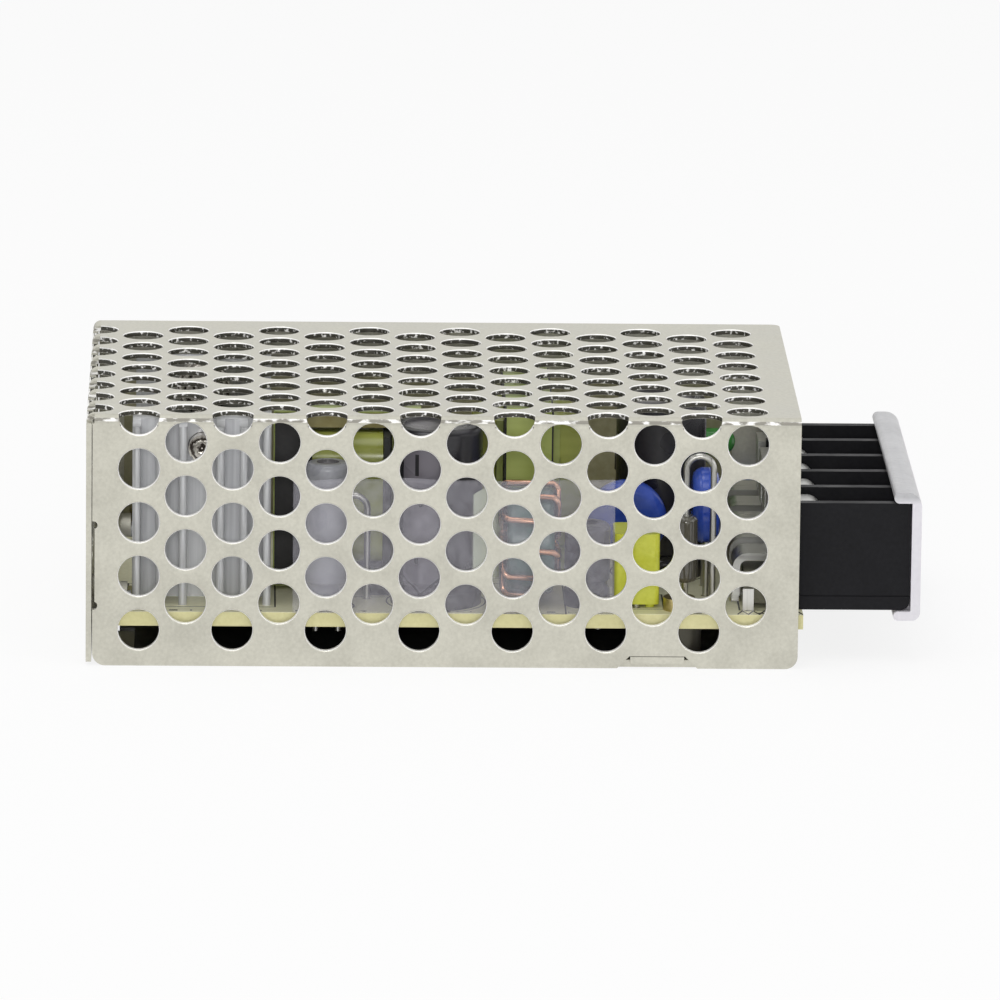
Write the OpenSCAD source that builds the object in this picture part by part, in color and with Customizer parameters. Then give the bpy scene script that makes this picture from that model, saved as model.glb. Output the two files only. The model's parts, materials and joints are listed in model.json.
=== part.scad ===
// Enclosed dc-dc converter in a folded, perforated sheet metal case, with a five-way screw terminal.
// Millimetres. +X runs along the case towards the terminal, -Y is the perforated long side, +Z is up.
// The origin is the centre of the case's bottom face.

/* [Case] */
// Length of the sheet metal case
case_l = 78; // [70:1:110]
// Width of the case
case_w = 51; // [46:1:80]
// Height of the case
case_h = 28; // [25:0.5:45]
// Thickness of the cover's sheet
cover_t = 0.6; // [0.4:0.1:1]
// Thickness of the chassis sheet
chassis_t = 0.8; // [0.6:0.1:1.2]
// Inner radius of every sheet bend
bend_in_r = 0.3; // [0.2:0.1:0.8]
// Gap between sheets that lie side by side
panel_gap = 0.1; // [0.05:0.05:0.3]
// Gap between the tallest parts and the top panel
top_gap = 1.55; // [0.5:0.05:3]

/* [Perforation] */
// Diameter of the punched holes
hole_d = 4.5; // [3:0.1:4.8]
// Distance between holes in one column
row_pitch = 6; // [5.5:0.1:8]
// Wanted distance between columns, fitted to the case's length
col_pitch_wanted = 5.1; // [4.5:0.1:7]
// Distance of the end bend's holes past the bend's upper line
end_hole_shift = 0.25; // [0:0.05:0.5]
// Least metal left between a hole and a free edge
hole_land = 1.5; // [1:0.1:3]

/* [Cover details] */
// Width of the bottom notch at its top
notch_top_w = 6.1; // [4:0.1:10]
// Distance that each side of the notch runs out
notch_flare = 1.35; // [0.5:0.05:3]
// Depth of the bottom notch
notch_h = 1.35; // [1.2:0.05:1.7]
// Distance of the notch's middle from the terminal end
notch_from_end = 15.4; // [10:0.1:40]
// Height of the locking slit in the front panel's end edge
slit_h = 9; // [5:0.5:14]
// Depth of the locking slit
slit_depth = 0.25; // [0.1:0.05:0.6]
// Height of the slit's middle over the base
slit_z = 11.2; // [9:0.1:16]
// Diameter of the round relief at each end of the slit
slit_relief_d = 0.9; // [0.5:0.1:1.5]
// Corner radius at the front panel's lower corners
panel_corner_r = 1.4; // [0.5:0.1:3]
// Corner radius at the top panel's free corner
top_corner_r = 1; // [0.5:0.1:3]
// Gap under the end wall
end_wall_lift = 0.4; // [0:0.1:1]

/* [Fixings] */
// Shank diameter of the cover and terminal screws
screw_d = 2.9; // [2.5:0.1:3.5]
// Radial room of a screw in its hole
screw_room = 0.05; // [0.02:0.01:0.1]
// Head diameter of the countersunk cover screws
flush_head_d = 5.4; // [4.5:0.1:6]
// Distance of each cover screw from the case's middle plane
cover_screw_y = 17; // [10:0.5:20]
// Height of the cover screws over the base
cover_screw_z = 5; // [4.2:0.1:6]
// Length of a cover screw
cover_screw_l = 3.6; // [3:0.1:4]
// Wall radius of the tapped mounting holes
mount_r = 1.25; // [1:0.05:1.5]
// Length of each tapped mounting hole
mount_len = 2.5; // [1.5:0.1:3]
// Distance between the two mounting holes
mount_spacing = 55; // [30:1:60]
// Height of the side mounting holes over the base
side_mount_z = 14; // [9:0.5:18]

/* [Circuit board] */
// Thickness of the circuit board
board_t = 1.6; // [1:0.1:2.4]
// Height of the board's underside over the chassis floor
board_lift = 3.45; // [3.2:0.05:6]
// Gap between the board and the case's side walls
board_gap = 0.4; // [0.3:0.1:1]
// Distance of the board's left edge from the case's end
board_end_gap = 2.5; // [2.5:0.1:5]
// Distance that the board stands out at the terminal end
board_out = 0.6; // [0:0.1:1]
// Diameter of the board bosses
boss_d = 5; // [4:0.1:6]
// Shank diameter of the board screws
board_screw_d = 2.4; // [2:0.1:3]
// Head diameter of the board screws
board_head_d = 3.5; // [3:0.1:4]
// Diameter of the component leads
lead_d = 0.7; // [0.4:0.1:0.8]
// Distance that the leads stand out under the board
lead_tail = 1.2; // [0.6:0.1:1.5]
// Thickness of the black base insulator
insulator_t = 0.3; // [0.2:0.05:0.6]
// Height of the insulator's flap at the back
insulator_flap_h = 21; // [10:1:23]
// Thickness of the side film
film_t = 0.2; // [0.1:0.05:0.3]
// Length of the side film
film_l = 35.2; // [25:0.1:40]
// Height of the side film
film_h = 15.2; // [10:0.1:16]

/* [Terminal] */
// Number of terminals
terminal_n = 5; // [5:1:5]
// Thickness of the barrier ribs
rib_t = 1.2; // [0.8:0.1:1.6]
// Height of the terminal block
block_h = 12; // [11:0.5:15]
// Distance that the block stands out of the case
block_out = 12.4; // [11:0.1:16]
// Distance that the block reaches into the case
block_in = 2; // [1.5:0.1:2.4]
// Depth of the block's back wall in front of the case's end
block_wall = 2; // [1:0.1:3]
// Thickness of the block's floor
block_floor = 1.5; // [1:0.1:2.5]
// Gap between the block and the front panel's outer face
block_front_gap = 3.75; // [2:0.05:3.9]
// Corner radius at the block's lower outer edge
block_corner_r = 1; // [0.3:0.1:1.4]
// Thickness of the metal contacts
contact_t = 0.8; // [0.5:0.1:1]
// Outer bend radius of the contacts
contact_r = 1.6; // [1.2:0.1:2]
// Distance that the contacts reach past the block into the case
contact_run = 4.2; // [4:0.1:5]
// Height of the contacts' inner straps over the board
strap_h = 5.8; // [5.4:0.1:7]
// Gap between a clamp plate and the ribs beside it
clamp_gap = 0.3; // [0.2:0.05:0.6]
// Thickness of the clamp plates
clamp_t = 0.9; // [0.6:0.1:1.4]
// Head height of the terminal screws
terminal_head_h = 2; // [1.2:0.1:2.4]
// Height of the screws over the board
terminal_screw_h = 6.2; // [5.6:0.1:7]
// Wall of the terminal cover
lid_t = 1.05; // [0.6:0.05:1.4]
// Thickness of the terminal cover's rolled upper lip
lid_lip_t = 1.2; // [0.8:0.1:1.6]
// Thickness of the terminal cover's lower lip
lid_low_t = 1; // [0.8:0.1:1.6]
// Corner radius at the terminal cover's upper edge
lid_top_r = 1.6; // [0.8:0.1:1.8]
// Distance that the terminal cover's lips reach over the block
lid_lip = 1.3; // [0.8:0.1:2.5]
// Gap between the terminal cover and the block
lid_gap = 0.1; // [0.05:0.05:0.3]
// Distance that the terminal cover overlaps each end of the block
lid_over = 0.5; // [0:0.1:1.5]

/* [Heatsink and transistors] */
// Wanted width of the finned heatsink, fitted to the row
sink_wanted = 15.2; // [13:0.1:17]
// Depth of the fins
fin_depth = 4.4; // [2:0.1:4.8]
// Thickness of the fins
fin_t = 0.9; // [0.6:0.1:1.2]
// Thickness of the heatsink's web and of the plate heatsink
web_t = 2; // [1.5:0.1:2.5]
// Depth of the side walls behind the web
sink_wall = 3.6; // [2:0.1:4]
// Wanted width of a transistor, fitted to the row
device_wanted = 10.2; // [9:0.1:10.6]
// Share of a transistor's height that its moulded body takes
device_body_share = 0.55; // [0.45:0.01:0.6]
// Distance of a transistor's top below the tallest parts
device_drop = 0.2; // [0:0.1:2]
// Shank diameter of the transistor screws
device_screw_d = 3; // [2.5:0.1:3.2]
// Thickness of a transistor's moulded body
device_t = 4.5; // [4:0.1:4.7]
// Thickness of a transistor's metal tab
tab_t = 1.3; // [0.8:0.1:1.5]
// Height of the transistors over the board
device_lift = 3; // [2:0.1:3.5]
// Distance between a transistor's leads
device_pitch = 2.54; // [2:0.01:3]

/* [Transformer and chokes] */
// Wanted length of the transformer's core, fitted to the row
core_wanted = 16; // [14:0.1:18]
// Distance of the transformer's top below the tallest parts
core_drop = 0.1; // [0:0.1:3]
// Thickness of the transformer's core
core_t = 5; // [4:0.1:6]
// Width of the core's yokes
yoke_w = 3.2; // [2:0.1:3.5]
// Height of the core's outer legs
leg_h = 1.6; // [1.4:0.1:2.4]
// Height of the core's middle leg
mid_leg_h = 4.8; // [4:0.1:6]
// Depth of the taped winding
winding_w = 10.8; // [9:0.1:11.2]
// Thickness of the coil former
former_t = 0.7; // [0.5:0.1:1]
// Thickness of the tape wrapped round both cores
tape_t = 0.15; // [0.1:0.05:0.25]
// Wanted width of the choke's place in the row, fitted to the row
choke_wanted = 9.8; // [9.4:0.1:12]
// Length of the filter choke's core, which stands across the row
choke_l = 22; // [18:0.1:23]
// Thickness of the choke's core
choke_t = 5.4; // [4:0.1:6]
// Width of the choke's taped winding
choke_w = 12.2; // [10:0.1:12.4]
// Distance of the choke's top below the tallest parts
choke_drop = 0.2; // [0:0.1:4]
// Outer diameter of the toroid core
toroid_d = 11.8; // [10:0.1:12]
// Bore of the toroid core
toroid_bore = 6; // [5:0.1:7]
// Thickness of the toroid core
toroid_t = 5.2; // [4:0.1:5.4]
// Diameter of the toroid's wire
wire_d = 0.7; // [0.4:0.05:0.75]
// Number of turns on the toroid
toroid_turns = 12; // [8:1:16]
// Diameter of the drum choke's flanges
drum_d = 7.2; // [6:0.1:8]
// Height of the drum choke
drum_h = 11; // [8:0.5:16]

/* [Capacitors and small parts] */
// Wanted diameter of the large electrolytic capacitors, fitted to the row
big_cap_wanted = 10; // [9:0.1:11]
// Diameter of the output capacitors
out_cap_d = 8; // [6.3:0.1:9]
// Height of the output capacitors
out_cap_h = 15; // [11:0.5:20]
// Diameter of the small grey capacitor
small_cap_d = 5; // [4:0.1:5.4]
// Height of the small grey capacitor
small_cap_h = 16.2; // [9:0.1:18]
// Height of the black capacitor beside the toroid
front_cap_h = 9.2; // [8:0.1:12]
// Wanted width of the box film capacitor, fitted to the row
film_cap_wanted = 5; // [4:0.1:6]
// Depth of the box film capacitor
film_cap_d = 6; // [5:0.1:7]
// Height of the box film capacitor
film_cap_h = 8.3; // [7:0.1:10]
// Diameter of the disc capacitor behind the box capacitor
disc_d = 9; // [8:0.1:9.6]
// Diameter of the disc capacitor that stands across the row
side_disc_d = 8.4; // [7:0.1:8.8]
// Thickness of the disc capacitors
disc_t = 3; // [2:0.1:3.2]
// Wanted width of the upright diode's place, fitted to the row
diode_wanted = 6.3; // [5.6:0.1:7]
// Diameter of the upright diode
diode_d = 2.7; // [2:0.1:3.2]
// Length of the upright diode
diode_l = 7.5; // [5:0.1:9]
// Height of the diode's lead loop over the board
diode_loop_h = 16.5; // [13:0.5:18]
// Height of the upright resistor's lead loop over the board
resistor_loop_h = 11.6; // [11:0.1:18]
// Width of the lead loops
hairpin_w = 3; // [2:0.1:3.2]
// Diameter of the resistors
resistor_d = 2; // [1.6:0.1:2.1]
// Length of the resistors
resistor_l = 6.5; // [5:0.1:7]
// Distance between a lying resistor's leads
resistor_span = 10.2; // [9:0.1:11]
// Width of a chip's body
chip_w = 6.4; // [6:0.1:7]
// Height of a chip's body
chip_h = 3.4; // [3:0.1:4]
// Distance between a chip's pins
chip_pitch = 2.54; // [2:0.01:2.54]
// Width of the fuse
fuse_w = 3.6; // [3:0.1:4]
// Depth of the fuse
fuse_d = 8.4; // [7:0.1:10]
// Height of the fuse
fuse_h = 8; // [6:0.5:12]
// Diameter of the indicator lamp
lamp_d = 3; // [2.5:0.1:3.2]
// Height of the lamp over the board
lamp_h = 9.6; // [8.8:0.1:12]
// Width of the trimmer's body
trimmer_w = 4.8; // [4:0.1:5]
// Diameter of the trimmer's rotor
rotor_d = 3.6; // [3:0.1:4]
// Running clearance round the rotor's shaft
rotor_room = 0.05; // [0.02:0.01:0.1]

/* [Hidden] */
$fn = 48;
cut = 1;
cover_r = bend_in_r + cover_t;
chassis_r = bend_in_r + chassis_t;
bend_arc = (bend_in_r + cover_t / 2) * PI / 2;

// Perforation: a column lies across the end bend, a row across the front bend
front_y = -case_w / 2;
end_x = case_l / 2;
end_col_x = -end_x + cover_r - end_hole_shift;
cols = 2 * round(-end_col_x / col_pitch_wanted - 0.5);
col_pitch = -end_col_x / (cols / 2 + 0.5);
bend_row_y = front_y + cover_r;
hole_margin = hole_d / 2 + hole_land;
front_first = case_h - cover_r + bend_arc;
end_first = case_h - cover_r + bend_arc - end_hole_shift;
end_rows_low = cover_screw_z + flush_head_d / 2 + hole_land;
row_n = ceil(max(case_w, case_h) / row_pitch);

// Chassis
floor_front_y = front_y + cover_t + panel_gap;
floor_left_x = -end_x + cover_t + panel_gap;
wall_in_y = case_w / 2 - chassis_t;
tab_x = -end_x + 2 * cover_t + (flush_head_d - screw_d) / 2;
tab_w = 9;
tab_rise = 4.5;
tab_top = cover_screw_z + tab_rise;
tab_burr_l = 2;
lip_top = 2.6;
burr_wall = 1;
tongue_lift = chassis_t * 0.6;
mount_xs = [-mount_spacing / 2, mount_spacing / 2];

// Circuit board
board_bottom = chassis_t + board_lift;
board_top = board_bottom + board_t;
board_x0 = -end_x + board_end_gap;
board_x1 = end_x + board_out;
board_y0 = front_y + cover_t + board_gap;
board_y1 = wall_in_y - board_gap;
lead_hole_d = lead_d + 0.3;
board_head_h = 1.4;
part_gap = 0.4;
fit_gap = 0.1;
tall_h = case_h - cover_t - board_top - top_gap;
cover_screw_end = -end_x + (flush_head_d - screw_d) / 2 + cover_screw_l;
tab_notch_x = max(tab_x + tab_burr_l, cover_screw_end) + part_gap;

// Lamp and trimmer behind the terminal block, beside the back wall
adjust_y = wall_in_y - insulator_t - part_gap / 2 - trimmer_w / 2;
lamp_rim = 0.4;

// Terminal: the block fills the width up to the lamp
block_y0 = front_y + block_front_gap;
block_y1 = adjust_y - lamp_d / 2 - lamp_rim - part_gap;
block_w = block_y1 - block_y0;
terminal_pitch = (block_w - rib_t) / terminal_n;
clamp_w = terminal_pitch - rib_t - 2 * clamp_gap;
contact_w = clamp_w * 0.8;
terminal_head_d = clamp_w * 0.9;
terminal_head_r = terminal_head_h * 0.35;
block_x0 = end_x - block_in;
block_x1 = end_x + block_out;
block_wall_x = end_x + block_wall;
block_top = board_top + block_h;
contact_top = block_top - 0.6;
strap_top = board_top + strap_h;
contact_tail_x = block_x0 - contact_run - contact_t;
screw_z = board_top + terminal_screw_h;
clamp_x = block_wall_x + contact_t;
head_x = clamp_x + clamp_t;
screw_tip_x = block_x0 + 0.9;
terminal_room = 0.08;
tail_w = 1.2;
slot_w = 1;
slot_depth = 0.8;

// Front row, from the board's left edge to the right: the parts share the free length in proportion
sink_x0 = board_x0 + 2.5;
cap_past = 0.68;
chip4_l = 3.4;
front_lane = 4.3;
tail_lane = 1.4;
row_room = contact_tail_x - sink_x0 - front_lane - tail_lane - 3 * part_gap;
row_wanted = sink_wanted + core_wanted + cap_past * big_cap_wanted + choke_wanted + film_cap_wanted
    + diode_wanted;
row_k = row_room / row_wanted;
sink_w = row_k * sink_wanted;
device_w = row_k * device_wanted;
core_l = row_k * core_wanted;
big_cap_d = row_k * big_cap_wanted;
choke_place = row_k * choke_wanted;
film_cap_w = row_k * film_cap_wanted;
diode_place = row_k * diode_wanted;
sink_y0 = board_y0 + 3;
sink_web_y = sink_y0 + fin_depth;
sink_mid_x = sink_x0 + sink_w / 2;
device_h = tall_h - device_lift - device_drop;
device_body_h = device_body_share * device_h;
device_hole_z = board_top + device_lift + device_h - 2.8;
device_bore = device_screw_d + 2 * screw_room;
core_x0 = sink_x0 + sink_w + part_gap;
core_x1 = core_x0 + core_l;
core_lift = 0.5;
core_h = tall_h - core_lift - core_drop;
small_cap_pos = [core_x0 + 3.3 + small_cap_d / 2, board_y0 + 0.8 + small_cap_d / 2];
big_cap_pos = [core_x1 + (cap_past - 0.5) * big_cap_d, board_y0 + 0.8 + big_cap_d / 2];
upright_pos = [core_x0 + yoke_w + 4, small_cap_pos.y + small_cap_d / 2 + 2 * fit_gap + resistor_d / 2];
flange_w = winding_w + part_gap;
core_mid = [core_x0 + core_l / 2,
    max(big_cap_pos.y + big_cap_d / 2 + part_gap + core_t / 2,
        upright_pos.y + resistor_d / 2 + fit_gap + flange_w / 2),
    board_top + core_lift + core_h / 2];
foot_w = 2.4;
foot_out = foot_w / 2 + part_gap;
choke_x0 = big_cap_pos.x + big_cap_d / 2 + part_gap;
choke_x1 = choke_x0 + choke_place;
turn_room = 0.08;
turn_r = toroid_d / 2 + turn_room + wire_d;
turn_half = toroid_t / 2 + turn_room + wire_d;
turn_angle = 360 / toroid_turns;
toroid_pos = [choke_x0 + choke_place / 2, board_y0 + 0.5 + turn_r, board_top + turn_r];
toroid_holes = [for (s = [-1, 1]) [toroid_pos.x, toroid_pos.y + s * turn_r * sin(turn_angle)]];
choke_lift = 0.6;
choke_h = tall_h - choke_drop - choke_lift;
choke_mid = [choke_x0 + choke_place / 2, toroid_pos.y + turn_r + part_gap + choke_l / 2,
    board_top + choke_lift + choke_h / 2];
film_cap_x0 = choke_x1 + front_lane;
film_cap_y0 = board_y0 + 3;
film_x0 = film_cap_x0 - fit_gap - film_l;
front_cap_x0 = toroid_pos.x + turn_half + part_gap;
front_cap_d = film_cap_x0 - part_gap - front_cap_x0;
front_cap_pos = [front_cap_x0 + front_cap_d / 2, board_y0 + 2.4 + front_cap_d / 2];
disc_lift = 3;
disc_room = 3;
disc_pos = [film_cap_x0 + film_cap_w / 3, film_cap_y0 + film_cap_d + part_gap + disc_room + disc_t / 2];
diode_x0 = film_cap_x0 + film_cap_w + part_gap;
loop_inset = 0.8;
diode_in = 5.7;
diode_pos = [diode_x0 + diode_place - loop_inset - hairpin_w, board_y0 + diode_in];
side_disc_lift = 5.5;
side_disc_pos = [diode_x0 + diode_place * 0.78, disc_pos.y - 2.2];
tall_cap_pos = [disc_pos.x + 4, disc_pos.y + disc_t / 2 + part_gap + big_cap_d / 2];
chip4_pos = [(contact_tail_x + contact_t + block_x0) / 2, board_y0 + 2.8 + chip_w / 2];

// Back rows
row_gap = 2;
device_y = sink_web_y + web_t;
core_back_y = core_mid.y + winding_w / 2;
plate_in = 9;
plate_y = wall_in_y - insulator_t - plate_in;
resistor_ys = [for (i = [0:2]) device_y + device_t + row_gap + resistor_d / 2 + i * (resistor_d + 1)];
out_cap_y = core_back_y + 2 * row_gap + out_cap_d / 2;
out_cap_xs = [core_x0 + row_gap + out_cap_d / 2, core_x0 + row_gap + 1.5 * out_cap_d + 1];
chip8_l = 9.3;
chip4_side = 2;
chip8_side = 4;
chip8_pos = [core_mid.x, wall_in_y - insulator_t - row_gap - chip_w / 2];
fuse_pos = [contact_tail_x - part_gap - fuse_w / 2, tall_cap_pos.y + big_cap_d / 2 + row_gap + fuse_d / 2];
drum_pos = [fuse_pos.x - fuse_w / 2 - row_gap / 2 - drum_d / 2,
    tall_cap_pos.y + big_cap_d / 2 + row_gap + drum_d / 2];

// Lamp and trimmer
trimmer_t = 2.8;
trimmer_h = 5.6;
trimmer_x0 = block_x0 - part_gap - trimmer_t;
rotor_z = board_top + 3.2;
rotor_t = 1.3;
rotor_shaft_d = 1.5;
access_d = 2.8;
lamp_z = board_top + lamp_h;
lamp_back = 5;
lamp_tip_x = end_x - lamp_back;
lamp_len = 5.2;
lamp_x0 = lamp_tip_x - lamp_len;
lamp_pitch = 2.54;
lamp_reach = 2.6;
lamp_lead_x = lamp_x0 - lamp_reach;
lamp_y = min(adjust_y, case_w / 2 - mount_len - part_gap - lamp_rim - lamp_d / 2);
ear_y0 = block_y1 + part_gap;

// Straight leads, each [x, y, height over the board]
function pair_x(p, pitch, up) = [[p.x - pitch / 2, p.y, up], [p.x + pitch / 2, p.y, up]];
function pair_y(p, pitch, up) = [[p.x, p.y - pitch / 2, up], [p.x, p.y + pitch / 2, up]];
cap_pitch = 5;
small_pitch = 2.5;
film_cap_mid = [film_cap_x0 + film_cap_w / 2, film_cap_y0 + film_cap_d / 2];
film_cap_lift = 0.4;
upright_leads = concat(
    pair_x(big_cap_pos, cap_pitch, 0),
    pair_x(tall_cap_pos, cap_pitch, 0),
    pair_x(small_cap_pos, small_pitch, 0),
    [for (x = out_cap_xs) each pair_x([x, out_cap_y], small_pitch, 0)],
    pair_y(film_cap_mid, cap_pitch, film_cap_lift),
    pair_x(disc_pos, cap_pitch, disc_lift),
    pair_y(side_disc_pos, cap_pitch, side_disc_lift + 0.6),
    pair_x(front_cap_pos, small_pitch, 0),
    pair_x(drum_pos, cap_pitch, 0),
    pair_y(fuse_pos, cap_pitch, 0));
pin_in = yoke_w + fit_gap + foot_w / 2;
wound_pins = concat(
    [for (sx = [-1, 1], sy = [-1, 1]) [core_mid.x + sx * (core_l / 2 - pin_in),
        core_mid.y + sy * (core_t / 2 + foot_out), 0]],
    [for (sx = [-1, 1], sy = [-1, 1]) [choke_mid.x + sx * (choke_t / 2 + foot_out),
        choke_mid.y + sy * (choke_l / 2 - pin_in), 0]]);
straight_leads = concat(upright_leads, wound_pins);
device_xs = [for (i = [-1:1]) sink_mid_x + i * device_pitch];
device_lead_y = device_y + tab_t + 0.6;
rectifier_lead_y = plate_y - tab_t - 0.6;
device_holes = [for (x = device_xs, y = [device_lead_y, rectifier_lead_y]) [x, y]];
trimmer_pins = [for (s = [-1, 1]) [trimmer_x0 + trimmer_t / 2, adjust_y + s * small_pitch / 2]];
lamp_pins = [for (s = [-1, 1]) [lamp_lead_x, lamp_y + s * lamp_pitch / 2]];
hairpins = [diode_pos, upright_pos];
hairpin_holes = [for (p = hairpins, d = [0, hairpin_w]) [p.x + d, p.y]];
resistor_mid_x = sink_x0 + sink_w / 2;
resistor_holes = [for (y = resistor_ys, s = [-1, 1]) [resistor_mid_x + s * resistor_span / 2, y]];
chip_row = chip_w / 2 + 0.6;
chip_pin_w = 0.5;
function chip_pins(p, per_side) = [for (i = [0:per_side - 1], s = [-1, 1])
    [p.x + (i - (per_side - 1) / 2) * chip_pitch, p.y + s * chip_row]];
chip_holes = concat(chip_pins(chip4_pos, chip4_side), chip_pins(chip8_pos, chip8_side));
terminal_ys = [for (i = [0:terminal_n - 1]) block_y0 + rib_t / 2 + (i + 0.5) * terminal_pitch];
tail_mid_x = contact_tail_x + contact_t / 2;
boss_in = boss_d / 2 + 1;
board_screws_at = [
    [board_x0 + boss_in, board_y1 - boss_in],
    [disc_pos.x, board_y1 - boss_in],
    [diode_x0 + board_head_d / 2, board_y0 + boss_d / 2 + fit_gap]];

// Flat rectangle with round corners, centred
module round_rect(w, h, r) {
    square([w - 2 * r, h], center = true);
    square([w, h - 2 * r], center = true);
    for (sx = [-1, 1], sy = [-1, 1])
        translate([sx * (w / 2 - r), sy * (h / 2 - r)])
            circle(r);
}

// What a corner radius takes off a square corner at the origin, on the +X +Y side
module corner_cut(r) {
    difference() {
        translate([-cut, -cut])
            square(r + cut);
        translate([r, r])
            circle(r);
    }
}

// Section of a sheet bend round the origin, from +X to +Y
module bend_section(r, t) {
    intersection() {
        difference() {
            circle(r);
            circle(r - t);
        }
        square(r);
    }
}

// Draws a flat shape (across, up) in the plane of a wall that faces -Y, with thickness t towards +Y
module face_y(y, t) {
    translate([0, y + t, 0])
        rotate([90, 0, 0])
            linear_extrude(t)
                children();
}

// Draws a flat shape (along Y, up) in the plane of a wall that faces X, with thickness t towards +X
module face_x(x, t) {
    translate([x, 0, 0])
        rotate([90, 0, 90])
            linear_extrude(t)
                children();
}

// Cylinder along +X
module rod_x(x, y, z, d, l) {
    translate([x, y, z])
        rotate([0, 90, 0])
            cylinder(d = d, h = l);
}

// Cylinder along +Y
module rod_y(x, y, z, d, l) {
    translate([x, y, z])
        rotate([-90, 0, 0])
            cylinder(d = d, h = l);
}

// Perforation of a flat panel, row 0 on the bend: columns at col_pitch, rows counted from the bend
module hole_grid(col_from, col_to, rows, first_even, limit) {
    for (c = [col_from:col_to], r = [0:rows]) {
        stagger = (c + first_even) % 2 == 0 ? 0 : 0.5;
        depth = (r + stagger) * row_pitch;
        if (depth > hole_margin - hole_land && depth < limit)
            translate([(c - (cols - 1) / 2) * col_pitch, depth])
                circle(d = hole_d);
    }
}

module cover_top() {
    translate([0, 0, case_h - cover_t])
        linear_extrude(cover_t)
            difference() {
                translate([-end_x + cover_r, bend_row_y])
                    square([case_l - cover_r, case_w - cover_r]);
                translate([0, bend_row_y])
                    hole_grid(0, cols - 1, row_n, 0, case_w - cover_r - hole_margin);
                translate([end_x, case_w / 2])
                    rotate(180)
                        corner_cut(top_corner_r);
            }
}

module cover_front() {
    panel_x0 = -end_x + cover_t + panel_gap;
    notch_x = end_x - notch_from_end;
    face_y(front_y, cover_t)
        difference() {
            translate([panel_x0, 0])
                square([end_x - panel_x0, case_h - cover_r]);
            translate([0, front_first])
                mirror([0, 1])
                    hole_grid(0, cols - 1, row_n, 0, front_first - hole_margin);
            polygon([[notch_x - notch_top_w / 2 - notch_flare, 0], [notch_x - notch_top_w / 2, notch_h],
                [notch_x + notch_top_w / 2, notch_h], [notch_x + notch_top_w / 2 + notch_flare, 0],
                [notch_x, -cut]]);
            translate([panel_x0, slit_z - slit_h / 2])
                square([slit_depth, slit_h]);
            for (s = [-1, 1])
                translate([panel_x0 + slit_depth / 2, slit_z + s * slit_h / 2])
                    circle(d = slit_relief_d);
            translate([panel_x0, 0])
                corner_cut(panel_corner_r);
            translate([end_x, 0])
                mirror([1, 0])
                    corner_cut(panel_corner_r);
        }
}

module cover_end() {
    wall_h = case_h - cover_r - end_wall_lift;
    face_x(-end_x, cover_t)
        difference() {
            translate([front_y, end_wall_lift])
                square([case_w, wall_h]);
            for (r = [1:row_n], i = [0:row_n]) {
                y = bend_row_y + (i + (r % 2 == 0 ? 0.5 : 1)) * row_pitch;
                z = end_first - r * col_pitch;
                if (z - hole_d / 2 > end_rows_low && y < case_w / 2 - hole_margin)
                    translate([y, z])
                        circle(d = hole_d);
            }
        }
}

module cover_bends() {
    panel_x0 = -end_x + cover_t + panel_gap;
    bend_start = max(panel_x0, -end_x + cover_r);
    translate([bend_start, bend_row_y, case_h - cover_r])
        rotate([90, 0, 90])
            mirror([1, 0, 0])
                linear_extrude(end_x - bend_start)
                    bend_section(cover_r, cover_t);
    translate([-end_x + cover_r, case_w / 2, case_h - cover_r])
        rotate([90, 0, 0])
            mirror([1, 0, 0])
                linear_extrude(case_w - cover_r)
                    bend_section(cover_r, cover_t);
}

// Holes that cross the front bend: a round cut from above and one from the front
module front_bend_holes() {
    for (c = [0:cols - 1]) {
        x = (c - (cols - 1) / 2) * col_pitch;
        odd = c % 2;
        if (odd == 0)
            translate([x, bend_row_y, case_h - cover_r])
                cylinder(d = hole_d, h = cover_r + cut);
        rod_y(x, front_y - cut, front_first - odd * row_pitch / 2, hole_d, cover_r + cut);
    }
}

// Holes that cross the end bend, cut the same way
module end_bend_holes() {
    for (i = [0:row_n]) {
        y = bend_row_y + (i + 0.5) * row_pitch;
        if (y < case_w / 2 - hole_margin) {
            translate([end_col_x, y, case_h - cover_r])
                cylinder(d = hole_d, h = cover_r + cut);
            rod_x(-end_x - cut, y, end_first, hole_d, cover_r + cut);
        }
    }
}

// Cone of a countersunk head, mouth at the end wall's outer face
module flush_cone(grow) {
    r = flush_head_d / 2 + grow;
    for (s = [-1, 1])
        translate([-end_x, s * cover_screw_y, cover_screw_z])
            rotate([0, 90, 0])
                cylinder(r1 = r, r2 = screw_d / 2 + grow, h = (flush_head_d - screw_d) / 2);
}

module perforated_cover() {
    dimple_len = tab_x + end_x - cover_t;
    color("#cbc8c0")
        difference() {
            union() {
                cover_top();
                cover_front();
                cover_end();
                cover_bends();
                for (s = [-1, 1])
                    translate([-end_x + cover_t, s * cover_screw_y, cover_screw_z])
                        rotate([0, 90, 0])
                            cylinder(r1 = flush_head_d / 2 + cover_t, r2 = screw_d / 2 + cover_t,
                                h = dimple_len);
            }
            front_bend_holes();
            end_bend_holes();
            flush_cone(screw_room);
            for (s = [-1, 1])
                rod_x(-end_x - cut, s * cover_screw_y, cover_screw_z, screw_d + 2 * screw_room,
                    dimple_len + cover_t + 2 * cut);
        }
}

module cover_screws() {
    color("#b9bbbd") {
        flush_cone(0);
        for (s = [-1, 1])
            rod_x(-end_x + (flush_head_d - screw_d) / 2, s * cover_screw_y, cover_screw_z, screw_d,
                cover_screw_l);
    }
}

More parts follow.
